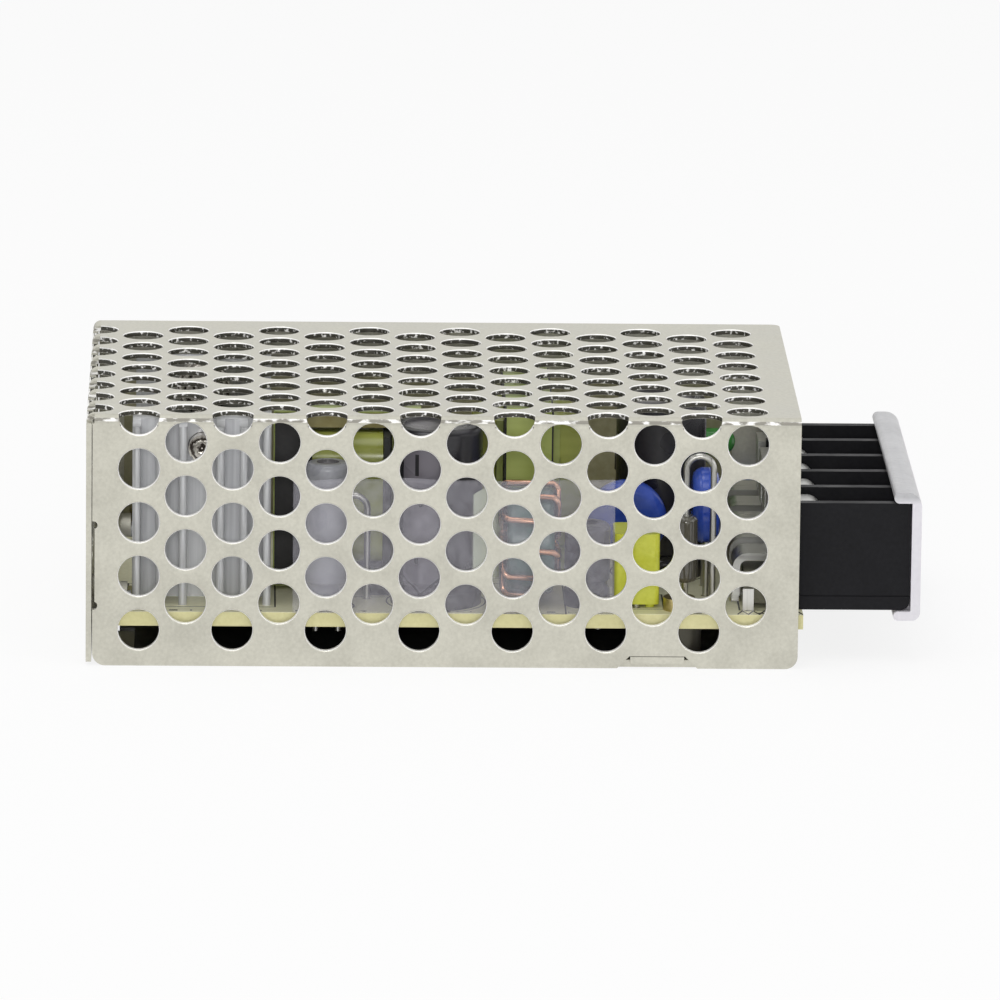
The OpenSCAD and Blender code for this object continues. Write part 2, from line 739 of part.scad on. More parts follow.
module chassis_floor() {
    floor_x0 = tab_x + chassis_r;
    floor_l = end_x - chassis_r - floor_x0;
    floor_w = case_w / 2 - chassis_r - floor_front_y;
    notch_x = end_x - notch_from_end;
    translate([floor_x0, floor_front_y, 0])
        cube([floor_l, floor_w, chassis_t]);
    translate([notch_x - notch_top_w / 2 + panel_gap, front_y, tongue_lift])
        cube([notch_top_w - 2 * panel_gap, chassis_r + cover_t, chassis_t]);
    for (x = mount_xs)
        translate([x, 0, 0])
            cylinder(r = mount_r + burr_wall, h = mount_len);
    for (p = board_screws_at)
        translate([p.x, p.y, 0])
            cylinder(d = boss_d, h = board_bottom);
}

module chassis_back() {
    wall_x0 = floor_left_x;
    wall_l = end_x - chassis_r - wall_x0;
    face_y(wall_in_y, chassis_t)
        translate([wall_x0, chassis_r])
            square([wall_l, case_h - cover_t - chassis_r]);
    floor_x0 = tab_x + chassis_r;
    translate([floor_x0, case_w / 2 - chassis_r, chassis_r])
        rotate([90, 0, 90])
            linear_extrude(end_x - chassis_r - floor_x0)
                rotate(-90)
                    bend_section(chassis_r, chassis_t);
    for (x = mount_xs)
        rod_y(x, case_w / 2 - mount_len, side_mount_z, 2 * (mount_r + burr_wall), mount_len);
}

// Ear bent in from the back wall, with the holes for the lamp and the trimmer
module chassis_ear() {
    ear_z0 = board_top + part_gap;
    ear_h = case_h - cover_t - part_gap - ear_z0;
    translate([end_x - chassis_r, case_w / 2 - chassis_r, ear_z0])
        linear_extrude(ear_h)
            bend_section(chassis_r, chassis_t);
    face_x(end_x - chassis_t, chassis_t)
        translate([ear_y0, ear_z0])
            square([case_w / 2 - chassis_r - ear_y0, ear_h]);
}

// Low lip at the terminal end and the two tabs at the far end that take the cover screws
module chassis_ends() {
    lip_w = block_w * 0.85;
    lip_y0 = block_y0 + (block_w - lip_w) / 2;
    face_x(end_x - chassis_t, chassis_t)
        translate([lip_y0, chassis_r])
            square([lip_w, lip_top - chassis_r]);
    translate([end_x - chassis_r, lip_y0 + lip_w, chassis_r])
        rotate([90, 0, 0])
            linear_extrude(lip_w)
                rotate(-90)
                    bend_section(chassis_r, chassis_t);
    for (s = [-1, 1]) {
        face_x(tab_x, chassis_t)
            translate([s * cover_screw_y - tab_w / 2, chassis_r])
                square([tab_w, tab_top - chassis_r]);
        translate([tab_x + chassis_r, s * cover_screw_y + tab_w / 2, chassis_r])
            rotate([90, 0, 0])
                linear_extrude(tab_w)
                    rotate(180)
                        bend_section(chassis_r, chassis_t);
        rod_x(tab_x, s * cover_screw_y, cover_screw_z, screw_d + 2 * burr_wall, tab_burr_l);
    }
}

module chassis() {
    color("#c9c7c1")
        difference() {
            union() {
                chassis_floor();
                chassis_back();
                chassis_ear();
                chassis_ends();
            }
            for (x = mount_xs) {
                translate([x, 0, -cut])
                    cylinder(r = mount_r, h = mount_len + 2 * cut);
                rod_y(x, case_w / 2 - mount_len - cut, side_mount_z, 2 * mount_r, mount_len + 2 * cut);
            }
            for (p = board_screws_at)
                translate([p.x, p.y, -cut])
                    cylinder(d = board_screw_d + 2 * screw_room, h = board_bottom + 2 * cut);
            for (s = [-1, 1])
                rod_x(tab_x - cut, s * cover_screw_y, cover_screw_z, screw_d + 2 * screw_room,
                    tab_burr_l + 2 * cut);
            rod_x(end_x - chassis_t - cut, adjust_y, lamp_z, lamp_d + part_gap, chassis_t + 2 * cut);
            rod_x(end_x - chassis_t - cut, adjust_y, rotor_z, access_d, chassis_t + 2 * cut);
        }
}

// Black sheet on the chassis floor, turned up at the back wall
module base_insulator() {
    room = 0.3;
    x0 = tab_x + chassis_r;
    x1 = end_x - chassis_t - room;
    sheet_y0 = floor_front_y;
    sheet_w = wall_in_y - sheet_y0;
    color("#1b1c20")
        difference() {
            union() {
                translate([x0, sheet_y0, chassis_t])
                    cube([x1 - x0, sheet_w - bend_in_r, insulator_t]);
                face_y(wall_in_y - insulator_t, insulator_t)
                    translate([x0, chassis_t + bend_in_r])
                        square([trimmer_x0 - x0, insulator_flap_h - bend_in_r]);
                translate([x0, wall_in_y - insulator_t - bend_in_r, chassis_t + bend_in_r + insulator_t])
                    rotate([90, 0, 90])
                        linear_extrude(trimmer_x0 - x0)
                            rotate(-90)
                                bend_section(bend_in_r + insulator_t, insulator_t);
            }
            for (x = mount_xs) {
                translate([x, 0, 0])
                    cylinder(r = mount_r + burr_wall + room, h = board_bottom);
                rod_y(x, wall_in_y - cut, side_mount_z, 2 * (mount_r + burr_wall + room), 2 * cut);
            }
            for (p = board_screws_at)
                translate([p.x, p.y, 0])
                    cylinder(d = boss_d + 2 * room, h = board_bottom);
            translate([x0 - cut, board_screws_at[0].y - boss_d / 2 - room, 0])
                cube([board_screws_at[0].x - x0 + cut, boss_d + 2 * room, board_bottom]);
            for (s = [-1, 1])
                translate([x0 - cut, s * cover_screw_y - tab_w / 2 - room, 0])
                    cube([tab_notch_x - x0 + cut, tab_w + 2 * room, board_bottom]);
            translate([end_x - notch_from_end - notch_top_w / 2 - room, front_y, 0])
                cube([notch_top_w + 2 * room, chassis_r + cover_t + room, board_bottom]);
        }
}

module side_film() {
    film_r = 0.6;
    color("#c9c6d6", 0.4)
        face_y(front_y + cover_t, film_t)
            translate([film_x0, board_top])
                difference() {
                    square([film_l, film_h]);
                    translate([0, film_h])
                        rotate(-90)
                            corner_cut(film_r);
                    translate([film_l, film_h])
                        rotate(180)
                            corner_cut(film_r);
                }
}

module circuit_board() {
    corner_x = block_x0 + 1.4;
    color("#cfc88c")
        translate([0, 0, board_bottom])
            linear_extrude(board_t)
                difference() {
                    union() {
                        translate([board_x0, board_y0])
                            square([corner_x - board_x0, board_y1 - board_y0]);
                        translate([board_x0, board_y0])
                            square([board_x1 - board_x0, block_y1 - board_y0]);
                    }
                    for (s = [-1, 1])
                        translate([board_x0 - cut, s * cover_screw_y - tab_w / 2 - part_gap])
                            square([tab_notch_x - board_x0 + cut, tab_w + 2 * part_gap]);
                    for (p = straight_leads)
                        translate([p.x, p.y])
                            circle(d = lead_hole_d);
                    for (p = concat(device_holes, trimmer_pins, lamp_pins, hairpin_holes, resistor_holes,
                            chip_holes, toroid_holes))
                        translate(p)
                            circle(d = lead_hole_d);
                    for (y = terminal_ys)
                        translate([tail_mid_x, y])
                            square([lead_hole_d + 0.2, tail_w + 0.4], center = true);
                    for (p = board_screws_at)
                        translate(p)
                            circle(d = board_screw_d + 0.3);
                }
}

module board_screws() {
    color("#c2b37a")
        for (p = board_screws_at)
            translate([p.x, p.y, board_top]) {
                cylinder(d = board_head_d, h = board_head_h);
                translate([0, 0, -board_t - board_lift])
                    cylinder(d = board_screw_d, h = board_t + board_lift);
            }
}

// One barrier rib's outline in the X-Z plane, with its lower outer corner rounded
module rib_outline() {
    difference() {
        translate([block_x0, board_top])
            square([block_x1 - block_x0, block_h]);
        translate([block_x1, board_top])
            mirror([1, 0])
                corner_cut(block_corner_r);
    }
}

module terminal_block() {
    tray_x = block_x1 - block_corner_r;
    wall_top = contact_top - contact_t;
    seam = 0.15;
    color("#17181a")
        difference() {
            union() {
                for (i = [0:terminal_n])
                    face_y(block_y0 + i * terminal_pitch, rib_t)
                        rib_outline();
                translate([block_x0, block_y0, board_top])
                    cube([tray_x - block_x0, block_w, block_floor]);
                face_y(block_y0, block_w)
                    difference() {
                        translate([block_x0, board_top])
                            square([block_wall_x - block_x0, wall_top - board_top]);
                        translate([block_wall_x, wall_top])
                            rotate(180)
                                corner_cut(contact_r);
                    }
            }
            translate([block_x0 - cut, block_y0 - cut, board_top + block_floor])
                cube([block_x1 - block_x0 + 2 * cut, seam + cut, seam]);
            for (y = terminal_ys)
                rod_x(screw_tip_x - part_gap, y, screw_z, screw_d + 2 * part_gap, block_x1 - block_x0);
        }
}

// Side view of a contact: plate under the clamp, bridge over the block's wall, riser, strap and leg
module contact_outline(plate_z0, leg_z0) {
    translate([block_wall_x, plate_z0])
        square([contact_t, contact_top - contact_r - plate_z0]);
    translate([clamp_x - contact_r, contact_top - contact_r])
        bend_section(contact_r, contact_t);
    translate([block_x0 - contact_t, contact_top - contact_t])
        square([clamp_x - contact_r - block_x0 + contact_t, contact_t]);
    translate([block_x0 - contact_t, strap_top - contact_t])
        square([contact_t, contact_top - strap_top + contact_t]);
    translate([contact_tail_x + contact_r, strap_top - contact_t])
        square([block_x0 - contact_tail_x - contact_r, contact_t]);
    translate([contact_tail_x + contact_r, strap_top - contact_r])
        rotate(90)
            bend_section(contact_r, contact_t);
    translate([contact_tail_x, leg_z0])
        square([contact_t, strap_top - contact_r - leg_z0]);
}

module terminal_contacts() {
    plate_z0 = board_top + block_floor + 0.6;
    leg_z0 = board_top + 1;
    color("#c8c9c6")
        for (y = terminal_ys) {
            difference() {
                face_y(y - contact_w / 2, contact_w)
                    contact_outline(plate_z0, leg_z0);
                rod_x(block_wall_x - cut, y, screw_z, screw_d + 2 * terminal_room, contact_t + 2 * cut);
            }
            translate([contact_tail_x, y - tail_w / 2, board_bottom - lead_tail])
                cube([contact_t, tail_w, leg_z0 - board_bottom + lead_tail]);
        }
}

module clamp_plate(i) {
    y = terminal_ys[i];
    color("#d6d7d4")
        difference() {
            translate([clamp_x, y - clamp_w / 2, screw_z - clamp_w / 2])
                cube([clamp_t, clamp_w, clamp_w]);
            rod_x(clamp_x - cut, y, screw_z, screw_d + 2 * terminal_room, clamp_t + 2 * cut);
        }
}

module terminal_screw(i) {
    y = terminal_ys[i];
    color("#d9dad7")
        difference() {
            translate([screw_tip_x, y, screw_z])
                rotate([0, 90, 0])
                    rotate_extrude()
                        union() {
                            square([screw_d / 2, head_x - screw_tip_x]);
                            translate([0, head_x - screw_tip_x])
                                pan_section(terminal_head_d, terminal_head_h, terminal_head_r);
                        }
            for (a = [0, 90])
                translate([head_x + terminal_head_h, y, screw_z])
                    rotate([a, 0, 0])
                        cube([2 * slot_depth, terminal_head_d * 0.6, slot_w], center = true);
        }
}

// Half section of a screw head with a rounded upper edge, its axis on the Y axis
module pan_section(d, h, r) {
    square([d / 2 - r, h]);
    square([d / 2, h - r]);
    translate([d / 2 - r, h - r])
        circle(r);
}

// Translucent cover that grips the block's outer edge with two rolled lips
module terminal_cover() {
    in_x = block_x1 + lid_gap;
    out_x = in_x + lid_t;
    z0 = board_top - lid_gap - lid_low_t;
    z1 = block_top + lid_gap + lid_lip_t;
    lip_x = block_x1 - lid_lip;
    low_r = lid_low_t * 0.95;
    color("#dcd9e6", 0.6)
        face_y(block_y0 - lid_over, block_w + 2 * lid_over) {
            difference() {
                translate([lip_x, z0])
                    square([out_x - lip_x, z1 - z0]);
                translate([lip_x - cut, z0 + lid_low_t])
                    square([in_x - lip_x + cut, z1 - z0 - lid_low_t - lid_lip_t]);
                translate([out_x, z0])
                    mirror([1, 0])
                        corner_cut(low_r);
                translate([out_x, z1])
                    rotate(180)
                        corner_cut(lid_top_r);
            }
            translate([lip_x, z0 + lid_low_t / 2])
                circle(d = lid_low_t);
            translate([lip_x, z1 - lid_lip_t / 2])
                circle(d = lid_lip_t);
        }
}

// Extruded heatsink: web, fins to the front on both sides of the screw, side walls for the transistor
module heatsink() {
    fin_in = device_screw_d / 2 + fit_gap + fin_t / 2;
    fin_pitch = (sink_w / 2 - fin_t / 2 - fin_in) / 2;
    color("#b4b5b8")
        difference() {
            translate([sink_mid_x, sink_y0, board_top])
                linear_extrude(tall_h)
                    union() {
                        translate([-sink_w / 2, fin_depth])
                            square([sink_w, web_t]);
                        for (s = [-1, 1], i = [0:2])
                            translate([s * (fin_in + i * fin_pitch), fin_t / 2]) {
                                translate([-fin_t / 2, 0])
                                    square([fin_t, fin_depth]);
                                circle(d = fin_t);
                            }
                        for (s = [-1, 1])
                            translate([s * (sink_w / 2 - fin_t) - fin_t, fin_depth])
                                square([2 * fin_t, web_t + sink_wall]);
                    }
            rod_y(sink_mid_x, sink_web_y - cut, device_hole_z, device_bore, web_t + 2 * cut);
        }
}

// Moulded body of a transistor whose tab stands on the plane y, with the body towards dir (+1 or -1)
module device_body(y, dir) {
    z0 = board_top + device_lift;
    side = 1.6;
    color("#1c1c1e")
        translate([sink_mid_x - device_w / 2, 0, z0])
            difference() {
                translate([0, dir > 0 ? y : y - device_t, 0])
                    cube([device_w, device_t, device_body_h]);
                translate([-cut, dir > 0 ? y - cut : y - tab_t, side])
                    cube([device_w + 2 * cut, tab_t + cut, device_body_h]);
            }
}

module device_tab(y, dir) {
    side = 1.6;
    z0 = board_top + device_lift;
    lead_t = 0.5;
    color("#b9b8b4") {
        difference() {
            translate([sink_mid_x - device_w / 2, dir > 0 ? y : y - tab_t, z0 + side])
                cube([device_w, tab_t, device_h - side]);
            rod_y(sink_mid_x, y - device_t, device_hole_z, device_screw_d + part_gap, 2 * device_t);
        }
        for (x = device_xs)
            translate([x - lead_t / 2, y + dir * (tab_t + 0.6) - lead_t / 2, board_bottom - lead_tail])
                cube([lead_t, lead_t, z0 - board_bottom + lead_tail]);
    }
}

module device_screw(y, dir) {
    head_h = 1.6;
    head_d = 2 * device_screw_d;
    through = web_t + 1.6;
    translate([sink_mid_x, y + dir * tab_t, device_hole_z])
        rotate([dir > 0 ? -90 : 90, 0, 0]) {
            rotate_extrude()
                pan_section(head_d, head_h, head_h / 3);
            translate([0, 0, -tab_t - through])
                cylinder(d = device_screw_d, h = tab_t + through);
        }
}

module device_screws() {
    color("#c4c5c2") {
        device_screw(device_y, 1);
        device_screw(plate_y, -1);
    }
}

module plate_heatsink() {
    color("#b4b5b8")
        difference() {
            translate([sink_x0, plate_y, board_top])
                cube([sink_w, web_t, tall_h]);
            rod_y(sink_mid_x, plate_y - cut, device_hole_z, device_bore, web_t + 2 * cut);
        }
}

// Pair of E-shaped core halves seen from the side: a frame with a middle leg along X
module core_frame(l, h) {
    window = (h - 2 * leg_h - mid_leg_h) / 2;
    difference() {
        square([l, h], center = true);
        for (s = [-1, 1])
            translate([0, s * (mid_leg_h + window) / 2])
                square([l - 2 * yoke_w, window], center = true);
    }
}

// Wound parts, each centred on the origin with its length along X: core, former, winding and core tape
module wound_core(l, h, t) {
    color("#2c2826")
        face_y(-t / 2, t)
            core_frame(l, h);
}

// Section of a middle leg, across Y and Z
module leg_section(t, grow) {
    square([t + 2 * grow, mid_leg_h + 2 * grow], center = true);
}

function window_h(h) = h - 2 * leg_h - 2 * part_gap;
function tube_l(l) = l - 2 * yoke_w - 2 * fit_gap;

module wound_former(l, h, t, flange_w, lift) {
    long = tube_l(l);
    foot_h = lift + h / 2 - window_h(h) / 2 + former_t;
    color("#2b2d2a")
        difference() {
            union() {
                for (x = [-long / 2, long / 2 - former_t])
                    face_x(x, former_t)
                        square([flange_w, window_h(h)], center = true);
                face_x(-long / 2, long)
                    leg_section(t, former_t + fit_gap);
                for (sx = [-1, 1], sy = [-1, 1])
                    translate([sx * (long - foot_w) / 2, sy * (t / 2 + foot_out), (foot_h - h) / 2 - lift])
                        cube([foot_w, foot_w, foot_h], center = true);
            }
            face_x(-long / 2 - cut, long + 2 * cut)
                leg_section(t, fit_gap);
        }
}

module wound_winding(l, h, t, w) {
    long = tube_l(l) - 2 * fit_gap - 2 * former_t;
    z0 = former_t + fit_gap - window_h(h) / 2;
    z1 = window_h(h) / 2 - fit_gap;
    color("#a5a33c")
        face_x(-long / 2, long)
            difference() {
                translate([0, (z0 + z1) / 2])
                    round_rect(w, z1 - z0, w / 4);
                leg_section(t, former_t + 2 * fit_gap);
            }
}

module core_tape(l, h, t) {
    color("#b9c25a")
        face_y(-t / 2 + part_gap / 2, t - part_gap)
            difference() {
                round_rect(l + 2 * tape_t, h + 2 * tape_t, tape_t);
                square([l, h], center = true);
            }
}

module at_transformer() {
    translate(core_mid)
        children();
}

// The choke stands across the row
module at_choke() {
    translate(choke_mid)
        rotate(90)
            children();
}

module transformer_core() {
    at_transformer()
        wound_core(core_l, core_h, core_t);
}

module transformer_former() {
    at_transformer()
        wound_former(core_l, core_h, core_t, flange_w, core_lift);
}

module transformer_winding() {
    at_transformer()
        wound_winding(core_l, core_h, core_t, winding_w);
}

module choke_core() {
    at_choke()
        wound_core(choke_l, choke_h, choke_t);
}

module choke_former() {
    at_choke()
        wound_former(choke_l, choke_h, choke_t, choke_t + 2 * (former_t + fit_gap), choke_lift);
}

module choke_winding() {
    at_choke()
        wound_winding(choke_l, choke_h, choke_t, choke_w);
}

module core_tapes() {
    at_transformer()
        core_tape(core_l, core_h, core_t);
    at_choke()
        core_tape(choke_l, choke_h, choke_t);
}

module toroid_core() {
    edge = 0.6;
    color("#39503a")
        translate(toroid_pos)
            rotate([0, 90, 0])
                rotate_extrude()
                    translate([(toroid_d + toroid_bore) / 4, 0])
                        round_rect((toroid_d - toroid_bore) / 2, toroid_t, edge);
}

module toroid_winding() {
    ring_w = (toroid_d - toroid_bore) / 2 + 2 * turn_room;
    ring_h = toroid_t + 2 * turn_room;
    edge = 0.6 + turn_room;
    color("#a9683e")
        translate(toroid_pos)
            rotate([0, 90, 0])
                for (i = [0:toroid_turns - 1])
                    rotate(i * turn_angle)
                        translate([(toroid_d + toroid_bore) / 4, 0, 0])
                            rotate([90, 0, 0])
                                linear_extrude(wire_d, center = true)
                                    difference() {
                                        round_rect(ring_w + 2 * wire_d, ring_h + 2 * wire_d, edge + wire_d);
                                        round_rect(ring_w, ring_h, edge);
                                    }
    color("#a9683e")
        for (p = toroid_holes)
            translate([p.x, p.y, board_bottom - lead_tail])
                cylinder(d = wire_d, h = board_t + lead_tail + turn_r * (1 - cos(turn_angle)) + wire_d / 2);
}

drum_flange = 1.6;
drum_winding_d = drum_d - 1;

module drum_core() {
    post_d = drum_d / 2;
    color("#2f2f33")
        translate([drum_pos.x, drum_pos.y, board_top]) {
            cylinder(d = drum_d, h = drum_flange);
            translate([0, 0, drum_flange])
                cylinder(d = post_d, h = drum_h - 2 * drum_flange);
            translate([0, 0, drum_h - drum_flange])
                cylinder(d = drum_d, h = drum_flange);
        }
}

module drum_winding() {
    color("#a9683e")
        translate([drum_pos.x, drum_pos.y, board_top + drum_flange + fit_gap])
            difference() {
                cylinder(d = drum_winding_d, h = drum_h - 2 * drum_flange - 2 * fit_gap);
                translate([0, 0, -cut])
                    cylinder(d = drum_d / 2 + 2 * fit_gap, h = drum_h + cut);
            }
}

// Sleeved electrolytic can: rounded shoulder, crimp groove near the foot, recessed top
module can(p, d, h) {
    shoulder = 0.7;
    groove_z = 2.4;
    groove_r = 0.7;
    groove_depth = 0.3;
    recess = 0.3;
    recess_rim = 1.3;
    translate([p.x, p.y, board_top])
        rotate_extrude()
            difference() {
                union() {
                    square([d / 2 - shoulder, h]);
                    square([d / 2, h - shoulder]);
                    translate([d / 2 - shoulder, h - shoulder])
                        circle(shoulder);
                }
                translate([d / 2 + groove_r - groove_depth, groove_z])
                    circle(groove_r);
                translate([0, h - recess])
                    square([d / 2 - recess_rim, 2 * recess]);
            }
}

module input_capacitor() {
    color("#1b1b1f")
        can(big_cap_pos, big_cap_d, tall_h);
}

module filter_capacitor() {
    color("#1b1b1f")
        can(tall_cap_pos, big_cap_d, tall_h);
}

module output_capacitors() {
    color("#23242c") {
        for (x = out_cap_xs)
            can([x, out_cap_y], out_cap_d, out_cap_h);
        can(front_cap_pos, front_cap_d, front_cap_h);
    }
}

module small_capacitor() {
    color("#8f9096")
        can(small_cap_pos, small_cap_d, small_cap_h);
}

module film_capacitor() {
    edge = 0.6;
    foot_d = 1;
    color("#bfc23e")
        translate([film_cap_mid.x, film_cap_mid.y, board_top]) {
            translate([0, 0, film_cap_lift])
                linear_extrude(film_cap_h - film_cap_lift)
                    round_rect(film_cap_w, film_cap_d, edge);
            for (sx = [-1, 1], sy = [-1, 1])
                translate([sx * (film_cap_w / 2 - foot_d), sy * (film_cap_d / 2 - foot_d), 0])
                    cylinder(d = foot_d, h = film_cap_lift);
        }
}

// Dipped disc standing on its two leads, facing Y unless turned
module disc(p, d, lift, turned) {
    translate([p.x, p.y, board_top + lift + d / 2])
        rotate([90, 0, turned])
            rotate_extrude()
                intersection() {
                    round_rect(d, disc_t, disc_t * 0.42);
                    translate([0, -disc_t])
                        square([d, 2 * disc_t]);
                }
}

module disc_capacitors() {
    color("#4f7fc4") {
        disc(disc_pos, disc_d, disc_lift, 0);
        disc(side_disc_pos, side_disc_d, side_disc_lift, 90);
    }
}

// Upright axial part with its top lead turned down beside it
hairpin_lift = 2.4;

module axial_body(d, l) {
    edge = d * 0.25;
    rotate_extrude()
        intersection() {
            translate([0, l / 2])
                round_rect(d, l, edge);
            square([d, l]);
        }
}

module upright_diode() {
    color("#202124")
        translate([diode_pos.x, diode_pos.y, board_top + hairpin_lift])
            axial_body(diode_d, diode_l);
}

module upright_resistor() {
    color("#5f9cae")
        translate([upright_pos.x, upright_pos.y, board_top + hairpin_lift])
            axial_body(resistor_d, resistor_l);
}

module hairpin(p, body_l, loop_h) {
    leg_top = board_top + loop_h - hairpin_w / 2;
    body_top = board_top + hairpin_lift + body_l;
    translate([p.x, p.y, board_bottom - lead_tail])
        cylinder(d = lead_d, h = board_t + lead_tail + hairpin_lift);
    translate([p.x, p.y, body_top])
        cylinder(d = lead_d, h = leg_top - body_top);
    translate([p.x + hairpin_w / 2, p.y, leg_top])
        rotate([90, 0, 0])
            rotate_extrude(angle = 180)
                translate([hairpin_w / 2, 0])
                    circle(d = lead_d);
    translate([p.x + hairpin_w, p.y, board_bottom - lead_tail])
        cylinder(d = lead_d, h = leg_top - board_bottom + lead_tail);
}

module hairpin_leads() {
    color("#c9c9c6") {
        hairpin(diode_pos, diode_l, diode_loop_h);
        hairpin(upright_pos, resistor_l, resistor_loop_h);
    }
}

resistor_z = board_top + resistor_d / 2 + 0.3;

module lying_resistors() {
    color("#5f9cae")
        for (y = resistor_ys)
            translate([resistor_mid_x - resistor_l / 2, y, resistor_z])
                rotate([0, 90, 0])
                    axial_body(resistor_d, resistor_l);
}

module resistor_leads() {
    lead_r = 0.8;
    run = (resistor_span - resistor_l) / 2 - lead_r;
    color("#c9c9c6")
        for (y = resistor_ys, m = [0, 1])
            translate([resistor_mid_x, y, 0])
                mirror([m, 0, 0]) {
                    rod_x(resistor_l / 2, 0, resistor_z, lead_d, run);
                    translate([resistor_l / 2 + run, 0, resistor_z - lead_r])
                        rotate([90, 0, 0])
                            rotate_extrude(angle = 90)
                                translate([lead_r, 0])
                                    circle(d = lead_d);
                    translate([resistor_span / 2, 0, board_bottom - lead_tail])
                        cylinder(d = lead_d, h = resistor_z - lead_r - board_bottom + lead_tail);
                }
}

// Moulded chip with six-sided section, its length along X
chip_lift = 0.6;
chip_mid_z = board_top + chip_lift + chip_h / 2;

module chip_body(p, l) {
    taper = 0.25;
    face_x(p.x - l / 2, l)
        translate([p.y, board_top + chip_lift])
            polygon([[-chip_w / 2 + taper, 0], [chip_w / 2 - taper, 0], [chip_w / 2, chip_h / 2],
                [chip_w / 2 - taper, chip_h], [-chip_w / 2 + taper, chip_h], [-chip_w / 2, chip_h / 2]]);
}

module optocoupler() {
    color("#2a2d2a")
        chip_body(chip4_pos, chip4_l);
}

module control_chip() {
    color("#1c1c1e")
        chip_body(chip8_pos, chip8_l);
}

module chip_pins() {
    pin_t = 0.3;
    shoulder_w = 1.2;
    color("#c9c9c6")
        for (c = [[chip4_pos, chip4_side], [chip8_pos, chip8_side]], p = chip_pins(c[0], c[1]))
            translate([p.x, 0, 0]) {
                inner_y = c[0].y + sign(p.y - c[0].y) * chip_w / 2;
                translate([-shoulder_w / 2, min(inner_y, p.y) - (p.y < inner_y ? pin_t / 2 : 0),
                    chip_mid_z - pin_t / 2])
                    cube([shoulder_w, abs(p.y - inner_y) + pin_t / 2, pin_t]);
                translate([-shoulder_w / 2, p.y - pin_t / 2, board_top])
                    cube([shoulder_w, pin_t, chip_mid_z + pin_t / 2 - board_top]);
                translate([-chip_pin_w / 2, p.y - pin_t / 2, board_bottom - lead_tail])
                    cube([chip_pin_w, pin_t, board_t + lead_tail]);
            }
}

module fuse() {
    edge = 0.8;
    color("#26272b")
        translate([fuse_pos.x, fuse_pos.y, board_top])
            linear_extrude(fuse_h)
                round_rect(fuse_w, fuse_d, edge);
}

// Round lamp that looks out through the chassis ear
module indicator_lamp() {
    flange_t = 1;
    straight = lamp_len - lamp_d / 2;
    color("#3fae4a", 0.8)
        translate([lamp_x0, lamp_y, lamp_z])
            rotate([0, 90, 0])
                rotate_extrude()
                    union() {
                        square([lamp_d / 2 + lamp_rim, flange_t]);
                        square([lamp_d / 2, straight]);
                        translate([0, straight])
                            intersection() {
                                circle(d = lamp_d);
                                square(lamp_d);
                            }
                    }
}

module lamp_leads() {
    bend = 0.9;
    color("#c9c9c6")
        for (p = lamp_pins) {
            rod_x(p.x + bend, p.y, lamp_z, lead_d, lamp_x0 - p.x - bend);
            translate([p.x + bend, p.y, lamp_z - bend])
                rotate([90, 0, 0])
                    rotate(90)
                        rotate_extrude(angle = 90)
                            translate([bend, 0])
                                circle(d = lead_d);
            translate([p.x, p.y, board_bottom - lead_tail])
                cylinder(d = lead_d, h = lamp_z - bend - board_bottom + lead_tail);
        }
}

rotor_shaft_l = 1.6;

module trimmer_body() {
    color("#2d5fae")
        difference() {
            translate([trimmer_x0, adjust_y - trimmer_w / 2, board_top])
                cube([trimmer_t, trimmer_w, trimmer_h]);
            rod_x(trimmer_x0 + trimmer_t - rotor_shaft_l - fit_gap, adjust_y, rotor_z,
                rotor_shaft_d + 2 * rotor_room, trimmer_t);
        }
}

module trimmer_rotor() {
    face_x0 = trimmer_x0 + trimmer_t + fit_gap;
    notch_depth = 0.6;
    notch_w = 0.6;
    color("#e9e6da")
        difference() {
            union() {
                rod_x(face_x0, adjust_y, rotor_z, rotor_d, rotor_t);
                rod_x(face_x0 - fit_gap - rotor_shaft_l, adjust_y, rotor_z, rotor_shaft_d,
                    rotor_shaft_l + fit_gap);
            }
            translate([face_x0 + rotor_t, adjust_y, rotor_z])
                cube([2 * notch_depth, rotor_d + cut, notch_w], center = true);
        }
}

module component_leads() {
    color("#c9c9c6") {
        for (p = straight_leads)
            translate([p.x, p.y, board_bottom - lead_tail])
                cylinder(d = lead_d, h = board_t + lead_tail + p.z);
        for (p = trimmer_pins)
            translate([p.x, p.y, board_bottom - lead_tail])
                cylinder(d = lead_d, h = board_t + lead_tail);
    }
}

chassis();
perforated_cover();
cover_screws();
base_insulator();
side_film();
circuit_board();
board_screws();
terminal_block();
terminal_contacts();
clamp_plate(0);  // clamp_plate_1
clamp_plate(1);  // clamp_plate_2
clamp_plate(2);  // clamp_plate_3
clamp_plate(3);  // clamp_plate_4
clamp_plate(4);  // clamp_plate_5
terminal_screw(0);  // terminal_screw_1
terminal_screw(1);  // terminal_screw_2
terminal_screw(2);  // terminal_screw_3
terminal_screw(3);  // terminal_screw_4
terminal_screw(4);  // terminal_screw_5
terminal_cover();
heatsink();
device_body(device_y, 1);  // transistor_body
device_tab(device_y, 1);  // transistor_tab
device_screws();
device_body(plate_y, -1);  // rectifier_body
device_tab(plate_y, -1);  // rectifier_tab
plate_heatsink();
transformer_core();
transformer_former();
transformer_winding();
choke_core();
choke_former();
choke_winding();
core_tapes();
toroid_core();
toroid_winding();
drum_core();
drum_winding();
input_capacitor();
filter_capacitor();
output_capacitors();
small_capacitor();
film_capacitor();
disc_capacitors();
upright_diode();
upright_resistor();
hairpin_leads();
lying_resistors();
resistor_leads();
optocoupler();
control_chip();
chip_pins();
fuse();
indicator_lamp();
lamp_leads();
trimmer_body();
trimmer_rotor();
component_leads();
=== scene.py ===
"""Looks of an enclosed dc-dc converter: folded perforated case, parts behind a film, screw terminal."""
import json
import math

import bmesh
import bpy
from mathutils import Matrix, Vector


